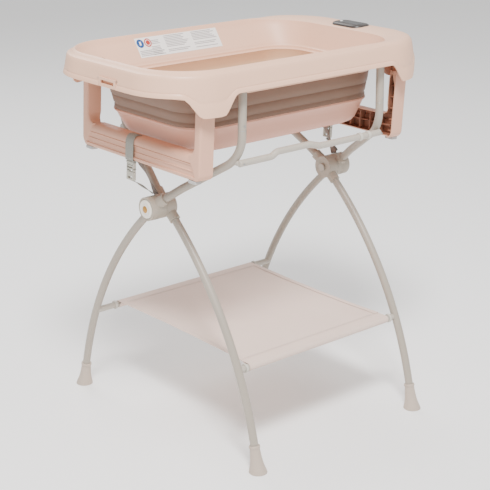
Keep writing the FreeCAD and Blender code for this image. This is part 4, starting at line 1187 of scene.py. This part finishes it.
@dataclass
class Thermometer:
    """The bath thermometer: a dark case with a rounded bezel, its window and its key."""

    x: float = 360.0
    half_x: float = 20.0
    half_y: float = 42.5
    corner: float = 14.0
    steps: int = 64

    def build(self) -> None:
        """Build the case, the window, the key and the bezel."""
        rounded_copy("thermometer_case", "display_case", CASE_PLASTIC, "bath", 1.6, 3)
        rounded_copy("thermometer_lens", "display_window", WINDOW, "bath", 0.35)
        rounded_copy("thermometer_key", "display_key", KEY_PLASTIC, "key", 0.5)
        profile = [(-1.0, 934.0), (-1.0, 940.6), (0.0, 941.3), (2.4, 941.2), (6.4, 939.8), (8.6, 937.4),
                   (9.2, 934.5)]

        def place(u: float, v: float) -> Vector:
            grow, z = profile[round(v * (len(profile) - 1))]
            turn = 2 * math.pi * ((u + 0.5 / self.steps) % 1.0)
            way = Vector((math.cos(turn), math.sin(turn)))
            core_x = math.copysign(self.half_x - self.corner, way.x)
            core_y = math.copysign(self.half_y - self.corner, way.y)
            radius = self.corner + grow
            return mm(self.x + core_x + radius * way.x, core_y + radius * way.y, z)

        bm = bmesh.new()
        grid(bm, self.steps, len(profile) - 1, place)
        weld(bm)
        piece(bm, "display_bezel", [CASE_PLASTIC], "bath", sharp=50)


# ------------------------------------------------------------------ the stand
@dataclass
class Stand:
    """The scissor stand: tubes, rails, hubs, feet and fittings."""

    shift: float = 20.0
    pivot_z: float = 573.0
    outer_x: float = 295.0
    inner_x: float = 262.0
    foot_h: float = 58.0
    ridges: int = 64

    def build(self) -> None:
        """Dress the tubes and build the hubs, feet and fittings."""
        for side in SIDES:
            for node in ("back_leg", "front_leg", "front_arm", "back_arm"):
                dress(f"{node}_{side}", STAND_COAT)
            dress(f"hub_spring_{side}", STEEL)
            rounded_copy(f"hub_pin_{side}", f"pivot_pin_{side}", RAIL_COAT, "frame_a", 0.6)
            for half, body in (("outer", "frame_a"), ("inner", "frame_b")):
                rounded_copy(f"hub_{half}_{side}", f"hub_drum_{half}_{side}", HUB_PLASTIC, body,
                             0.9, 3)
            self.build_button(side)
            self.build_emblem(side)
            self.build_grip(side)
            self.build_foot(side, self.outer_x, 1, "back", "frame_a")
            self.build_foot(side, self.inner_x, -1, "front", "frame_b")
        for node in ("front_rail", "back_rail", "shelf_tube_back", "shelf_tube_front"):
            dress(node, RAIL_COAT)
        rounded_copy("rail_collars", "rail_rings", COLLAR_PLASTIC, "frame_a", 0.8, 3)
        for word, body in (("back", "frame_a"), ("front", "frame_b")):
            rounded_copy(f"shelf_stops_{word}", f"shelf_rings_{word}", COLLAR_PLASTIC, body,
                         0.8, 3)
        self.build_rivets()

    def at(self, side_sign: int, x: float, y: float = 0.0, z: float | None = None) -> Vector:
        """A point in metres, X out from the stand's middle; Z is the hubs' height if it isn't given."""
        return mm(self.shift + side_sign * x, y, self.pivot_z if z is None else z)

    def build_button(self, side: str) -> None:
        """The domed release button with a ring pressed into its face."""
        bm = bmesh.new()
        profile = [(22.4, 317.2), (22.4, 321.4), (21.6, 323.0), (20.0, 323.9), (14.5, 324.0), (13.6, 323.2),
                   (12.6, 323.2), (11.8, 323.9), (7.0, 323.8), (0.0, 323.8)]
        turned(bm, Vector((self.shift, 0, self.pivot_z)), X_WAY, Y_WAY,
               [(r, SIDES[side] * x) for r, x in profile], 64)
        bmesh.ops.contextual_create(bm, geom=[e for e in bm.edges if e.is_boundary])
        turn_out(bm)
        piece(bm, f"release_button_{side}", [CREAM_PLASTIC], f"button_{side}",
              [f"hub_button_{side}"], 50)

    def build_emblem(self, side: str) -> None:
        """The plain gold disc with a raised middle on the button's face."""
        sign = SIDES[side]
        bm = bmesh.new()
        for x, radius in ((324.15, 8.6), (324.45, 6.2)):
            disc(bm, self.at(sign, x), X_WAY * sign, radius, 0.7, 0.25, 40)
        piece(bm, f"button_emblem_{side}", [BRASS], f"button_{side}", [f"hub_emblem_{side}"])

    def build_grip(self, side: str) -> None:
        """The ring of fine ridges round the hub's outer drum."""
        bm = bmesh.new()
        for i in range(self.ridges):
            turn = Matrix.Rotation(2 * math.pi * i / self.ridges, 4, "X")
            for vert in block(bm, mm(-8.0, -0.7, 27.9), mm(8.0, 0.7, 28.8)):
                vert.co = turn @ vert.co + self.at(SIDES[side], 301.0)
        made = piece(bm, f"hub_ridges_{side}", [HUB_PLASTIC], "frame_a")
        soften(made, 0.25, 1)

    def leg_arc(self) -> tuple[Vector, float]:
        """The centre and radius of a lower leg's arc, through three points seen from the side."""
        points = ((20.0, 556.0), (227.0, 309.0), (336.0, 0.0))
        (ax, ay), (bx, by), (cx, cy) = points
        squares = [x * x + y * y for x, y in points]
        twice = 2 * (ax * (by - cy) + bx * (cy - ay) + cx * (ay - by))
        ux = sum(s * t for s, t in zip(squares, (by - cy, cy - ay, ay - by))) / twice
        uy = sum(s * t for s, t in zip(squares, (cx - bx, ax - cx, bx - ax))) / twice
        return Vector((ux, uy)), math.hypot(ax - ux, ay - uy)

    def build_foot(self, side: str, plane_x: float, y_sign: int, word: str, body: str) -> None:
        """A flared foot spun round the end of a leg and cut flat at the floor.

        Args:
            side: left or right.
            plane_x: The leg's plane, from the middle of the stand.
            y_sign: Which way along Y the leg runs.
            word: front or back.
            body: The body that it rides on.
        """
        centre, radius = self.leg_arc()

        def on_leg(z: float) -> Vector:
            y = centre.x + math.sqrt(radius ** 2 - (z - centre.y) ** 2)
            return Vector((self.shift + SIDES[side] * plane_x, y_sign * y, z))

        top = on_leg(self.foot_h + 5)
        profile = [(9.9, -1.0), (12.2, -1.2), (13.2, 0.0), (13.5, 2.0), (13.3, 4.6), (12.4, 5.8), (12.0, 7.0),
                   (12.6, 14.0), (13.6, 26.0), (15.2, 38.0), (17.6, 49.0), (20.6, 58.5), (22.4, 66.0),
                   (23.0, 76.0)]
        bm = bmesh.new()
        turned(bm, top, (on_leg(8.0) - top).normalized(), X_WAY, profile, 48)
        everything = list(bm.verts) + list(bm.edges) + list(bm.faces)
        bmesh.ops.bisect_plane(bm, geom=everything, plane_co=(0, 0, 0.0001), plane_no=-Z_WAY,
                               clear_outer=True)
        floor_edges = [e for e in bm.edges if e.is_boundary and all(v.co.z < 0.001 for v in e.verts)]
        bmesh.ops.contextual_create(bm, geom=floor_edges)
        turn_out(bm)
        made = piece(bm, f"foot_{word}_{side}", [FOOT_PLASTIC], body,
                     [f"{word}_foot_{side}"], 50)
        soften(made, 0.8, 2, 55)

    def build_rivets(self) -> None:
        """The rivets that hold the rails, and the sleeve joints in the arms."""
        for word, body, y_sign in (("front", "frame_a", -1), ("back", "frame_b", 1)):
            bm = bmesh.new()
            for sign in SIDES.values():
                for z in (714.0, 801.0):
                    disc(bm, self.at(sign, 219.0, y_sign * 237.9, z), Y_WAY * y_sign, 2.4, 1.2, 0.4, 20)
                disc(bm, self.at(sign, 217.6, y_sign * 228, 790.0), Z_WAY, 10.0, 1.6, 0.3, 40)
            piece(bm, f"arm_rivets_{word}", [STEEL], body)
            self.build_rail_end(word, body, y_sign)

    def build_rail_end(self, word: str, body: str, y_sign: int) -> None:
        """The closed end of a rail and the weld that joins it to the left arm."""
        bm = bmesh.new()
        end = mm(-203.0, y_sign * 226.0, 714.0)
        disc(bm, end, X_WAY, 8.3, 6.0, 2.6)
        disc(bm, end - Y_WAY * y_sign * 9 * MM, Y_WAY, 6.5, 16.0, 1.0, 24)
        piece(bm, f"rail_weld_{word}", [RAIL_COAT], body)


@dataclass
class ShelfCloth:
    """The cloth shelf: one sheet sewn round both cross tubes, with hems and stitching."""

    x0: float = -210.0
    x1: float = 250.0
    tube_y: float = 263.0
    tube_z: float = 232.0
    radius: float = 9.5
    waist: float = 7.0
    sag: float = 4.0
    path: list[Point] = field(default_factory=list)

    def sleeve(self) -> list[Point]:
        """The path round one tube, from the seam under the sheet to the top of the tube."""
        seam = [(self.tube_y - run, self.top - drop) for run, drop in ((25.0, 1.3), (19.0, 2.2), (13.0, 4.6))]
        turns = [math.radians(mix(200, 450, step / 16)) for step in range(17)]
        return seam + [(self.tube_y + self.radius * math.cos(a), self.tube_z + self.radius * math.sin(a))
                       for a in turns]

    @property
    def top(self) -> float:
        """Height of the sheet where it leaves a tube."""
        return self.tube_z + self.radius

    def lay_out(self) -> float:
        """Work out the sheet's path from front to back and return its length."""
        back = self.sleeve()
        middle = [(y, self.top) for y in range(240, -241, -20)]
        self.path = back + [(float(y), z) for y, z in middle] + [(-y, z) for y, z in reversed(back)]
        return sum(math.dist(a, b) for a, b in zip(self.path, self.path[1:]))

    def at(self, u: float, v: float, proud: float = 0.0) -> Vector:
        """A point of the sheet from its two shares.

        Args:
            u: Share along the path.
            v: Share across, from the left edge.
            proud: Extra height, in millimetres.

        Returns:
            The point in metres.
        """
        run = u * (len(self.path) - 1)
        i = min(int(run), len(self.path) - 2)
        y, z = [mix(a, b, run - i) for a, b in zip(self.path[i], self.path[i + 1])]
        return self.shaped(y, z, v, proud)

    def shaped(self, y: float, z: float, v: float, proud: float) -> Vector:
        """A point of the sheet at a known Y, pulled in at the sides and sagging in the middle."""
        open_part = max(0.0, 1 - (y / (self.tube_y - 8)) ** 2)
        flat = z > self.top - 2.5
        pull = self.waist * open_part
        x = mix(self.x0 + pull, self.x1 - pull, v)
        if not flat:
            return mm(x, y, z + proud)
        dip = self.sag * open_part * (0.35 + 0.65 * 4 * v * (1 - v))
        fold = 0.5 * math.sin(x * 0.045 + y * 0.02) * math.sin(y * 0.031 - x * 0.012) * open_part
        pucker = 0.35 * math.sin(x * 0.42) * smooth(200, 245, abs(y)) if abs(y) < 246 else 0.0
        return mm(x, y, z - dip + fold + pucker + proud)

    def build(self) -> None:
        """Build the sheet, the hems and the stitching; none of them rides on a body."""
        length = self.lay_out()
        bm = bmesh.new()
        grid(bm, len(self.path) * 3, 60, self.at)
        turn_out(bm)
        area = sum(f.calc_area() for f in bm.faces)
        make_double(bm, 1.0)
        cloth = piece(bm, "shelf_sheet", [SHELF_CLOTH_PAINTED_LIGHT], None, ["shelf_fabric"], 80)
        hems = [self.build_hem("left", 0.0), self.build_hem("right", 1.0)]
        stitches = self.build_stitches()
        for made in [cloth, stitches, *hems]:
            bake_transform(made)

    def build_hem(self, word: str, v: float) -> Object:
        """The turned edge down one side of the sheet."""
        bm = bmesh.new()
        inner = 13.0 / (self.x1 - self.x0)
        v_in = inner if v == 0.0 else 1 - inner

        def place(a: float, b: float) -> Vector:
            y = mix(238.0, -238.0, a)
            return self.shaped(y, self.top, mix(v, v_in, b), 0.9)

        grid(bm, 80, 3, place)
        turn_out(bm)
        make_double(bm, 0.8)
        return piece(bm, f"shelf_hem_{word}", [SHELF_CLOTH_PAINTED_LIGHT], None, sharp=80)

    def build_stitches(self) -> Object:
        """Rows of stitches along both sleeves and both hems."""
        bm = bmesh.new()
        width = self.x1 - self.x0

        def stitch(v0: float, y0: float, v1: float, y1: float) -> None:
            a = self.shaped(y0, self.top, v0, 1.1)
            b = self.shaped(y1, self.top, v1, 1.1)
            middle, line = (a + b) / 2, b - a
            turn = line.to_track_quat("X", "Z").to_matrix().to_4x4()
            at = Matrix.Translation(middle) @ turn @ Matrix.Diagonal((line.length, 0.0009, 0.0006, 1.0))
            bmesh.ops.create_cube(bm, size=1.0, matrix=at)

        pitch = 5.2
        thread = 3.4
        for y in (239.0, 234.0, -239.0, -234.0):
            for i in range(int((width - 24) / pitch)):
                v = (14 + i * pitch) / width
                stitch(v, y, v + thread / width, y)
        for v in (0.022, 0.978):
            for i in range(int(460 / pitch)):
                y = -230 + i * pitch
                stitch(v, y, v, y + thread)
        bm.loops.layers.uv.new("UVMap")
        return piece(bm, "shelf_stitching", [SEAM_THREAD], None)


@dataclass
class HangHook:
    """The bar that folds out of the foot end to hang the bath up."""

    def build(self) -> None:
        """Round the hook's edges and dress its pin."""
        rounded_copy("hang_hook", "hook_bar", RIM_PLASTIC, "hook", 0.9, 3)
        dress("hook_pin", STEEL)


# ------------------------------------------------------------------ studio
@dataclass
class Studio:
    """The floor, the backdrop, the lights and the camera."""

    lens: float = 96.62
    azimuth: float = -40.31
    elevation: float = 18.98
    camera_at: tuple[float, float, float] = (-2.0308, -2.3985, 1.4984)

    def build(self) -> None:
        """Build everything that isn't part of the object."""
        self.build_floor()
        self.build_world()
        self.build_light("key", (-1.7, -2.1, 4.4), 1.2, 380.0)
        self.build_light("fill", (3.2, -1.6, 2.2), 2.6, 12.0)
        self.build_light("back", (0.6, 3.0, 3.4), 2.0, 80.0)
        self.build_camera()

    def build_floor(self) -> None:
        """A pale floor that fades out of sight."""
        bm = bmesh.new()
        bmesh.ops.create_grid(bm, x_segments=2, y_segments=2, size=14.0)
        mesh = bpy.data.meshes.new("floor")
        bm.to_mesh(mesh)
        bm.free()
        material = bpy.data.materials.new("pale_floor")
        material.use_nodes = True
        shader = material.node_tree.nodes["Principled BSDF"]
        shader.inputs["Base Color"].default_value = linear("#fbfaf9")
        shader.inputs["Roughness"].default_value = 0.9
        mesh.materials.append(material)
        add_object("floor", mesh)

    def build_world(self) -> None:
        """An even pale sky."""
        world = bpy.data.worlds.new("studio")
        world.use_nodes = True
        sky = world.node_tree.nodes["Background"]
        sky.inputs["Color"].default_value = linear("#ffffff")
        sky.inputs["Strength"].default_value = 0.85
        bpy.context.scene.world = world

    def build_light(self, name: str, at: tuple[float, float, float], size: float, power: float) -> None:
        """One soft square light aimed at the middle of the object."""
        lamp = bpy.data.lights.new(name, "AREA")
        lamp.shape = "SQUARE"
        lamp.size = size
        lamp.energy = power
        made = add_object(name, lamp)
        made.location = at
        made.rotation_euler = (Vector((0, 0, 0.6)) - Vector(at)).to_track_quat("-Z", "Y").to_euler()

    def build_camera(self) -> None:
        """The camera, a little above the rim and off the foot end's corner."""
        data = bpy.data.cameras.new("camera")
        data.lens = self.lens
        data.sensor_width = 36.0
        data.clip_end = 100.0
        camera = add_object("camera", data)
        camera.location = self.camera_at
        camera.rotation_euler = (math.radians(90 - self.elevation), 0, math.radians(self.azimuth))
        bpy.context.scene.camera = camera


def main() -> None:
    """Build every sub-assembly in order."""
    logging.basicConfig(level=logging.INFO, format="%(name)s %(message)s")
    assemblies = [Studio(), Stand(), ShelfCloth(), BathRim(), Bellows(), Basin()]
    assemblies += [EndLeg(end) for end in End] + [TetherStrap(end) for end in End]
    assemblies += [CareLabel(), Thermometer(), HangHook()]
    for assembly in assemblies:
        assembly.build()


if __name__ == "__main__":
    main()
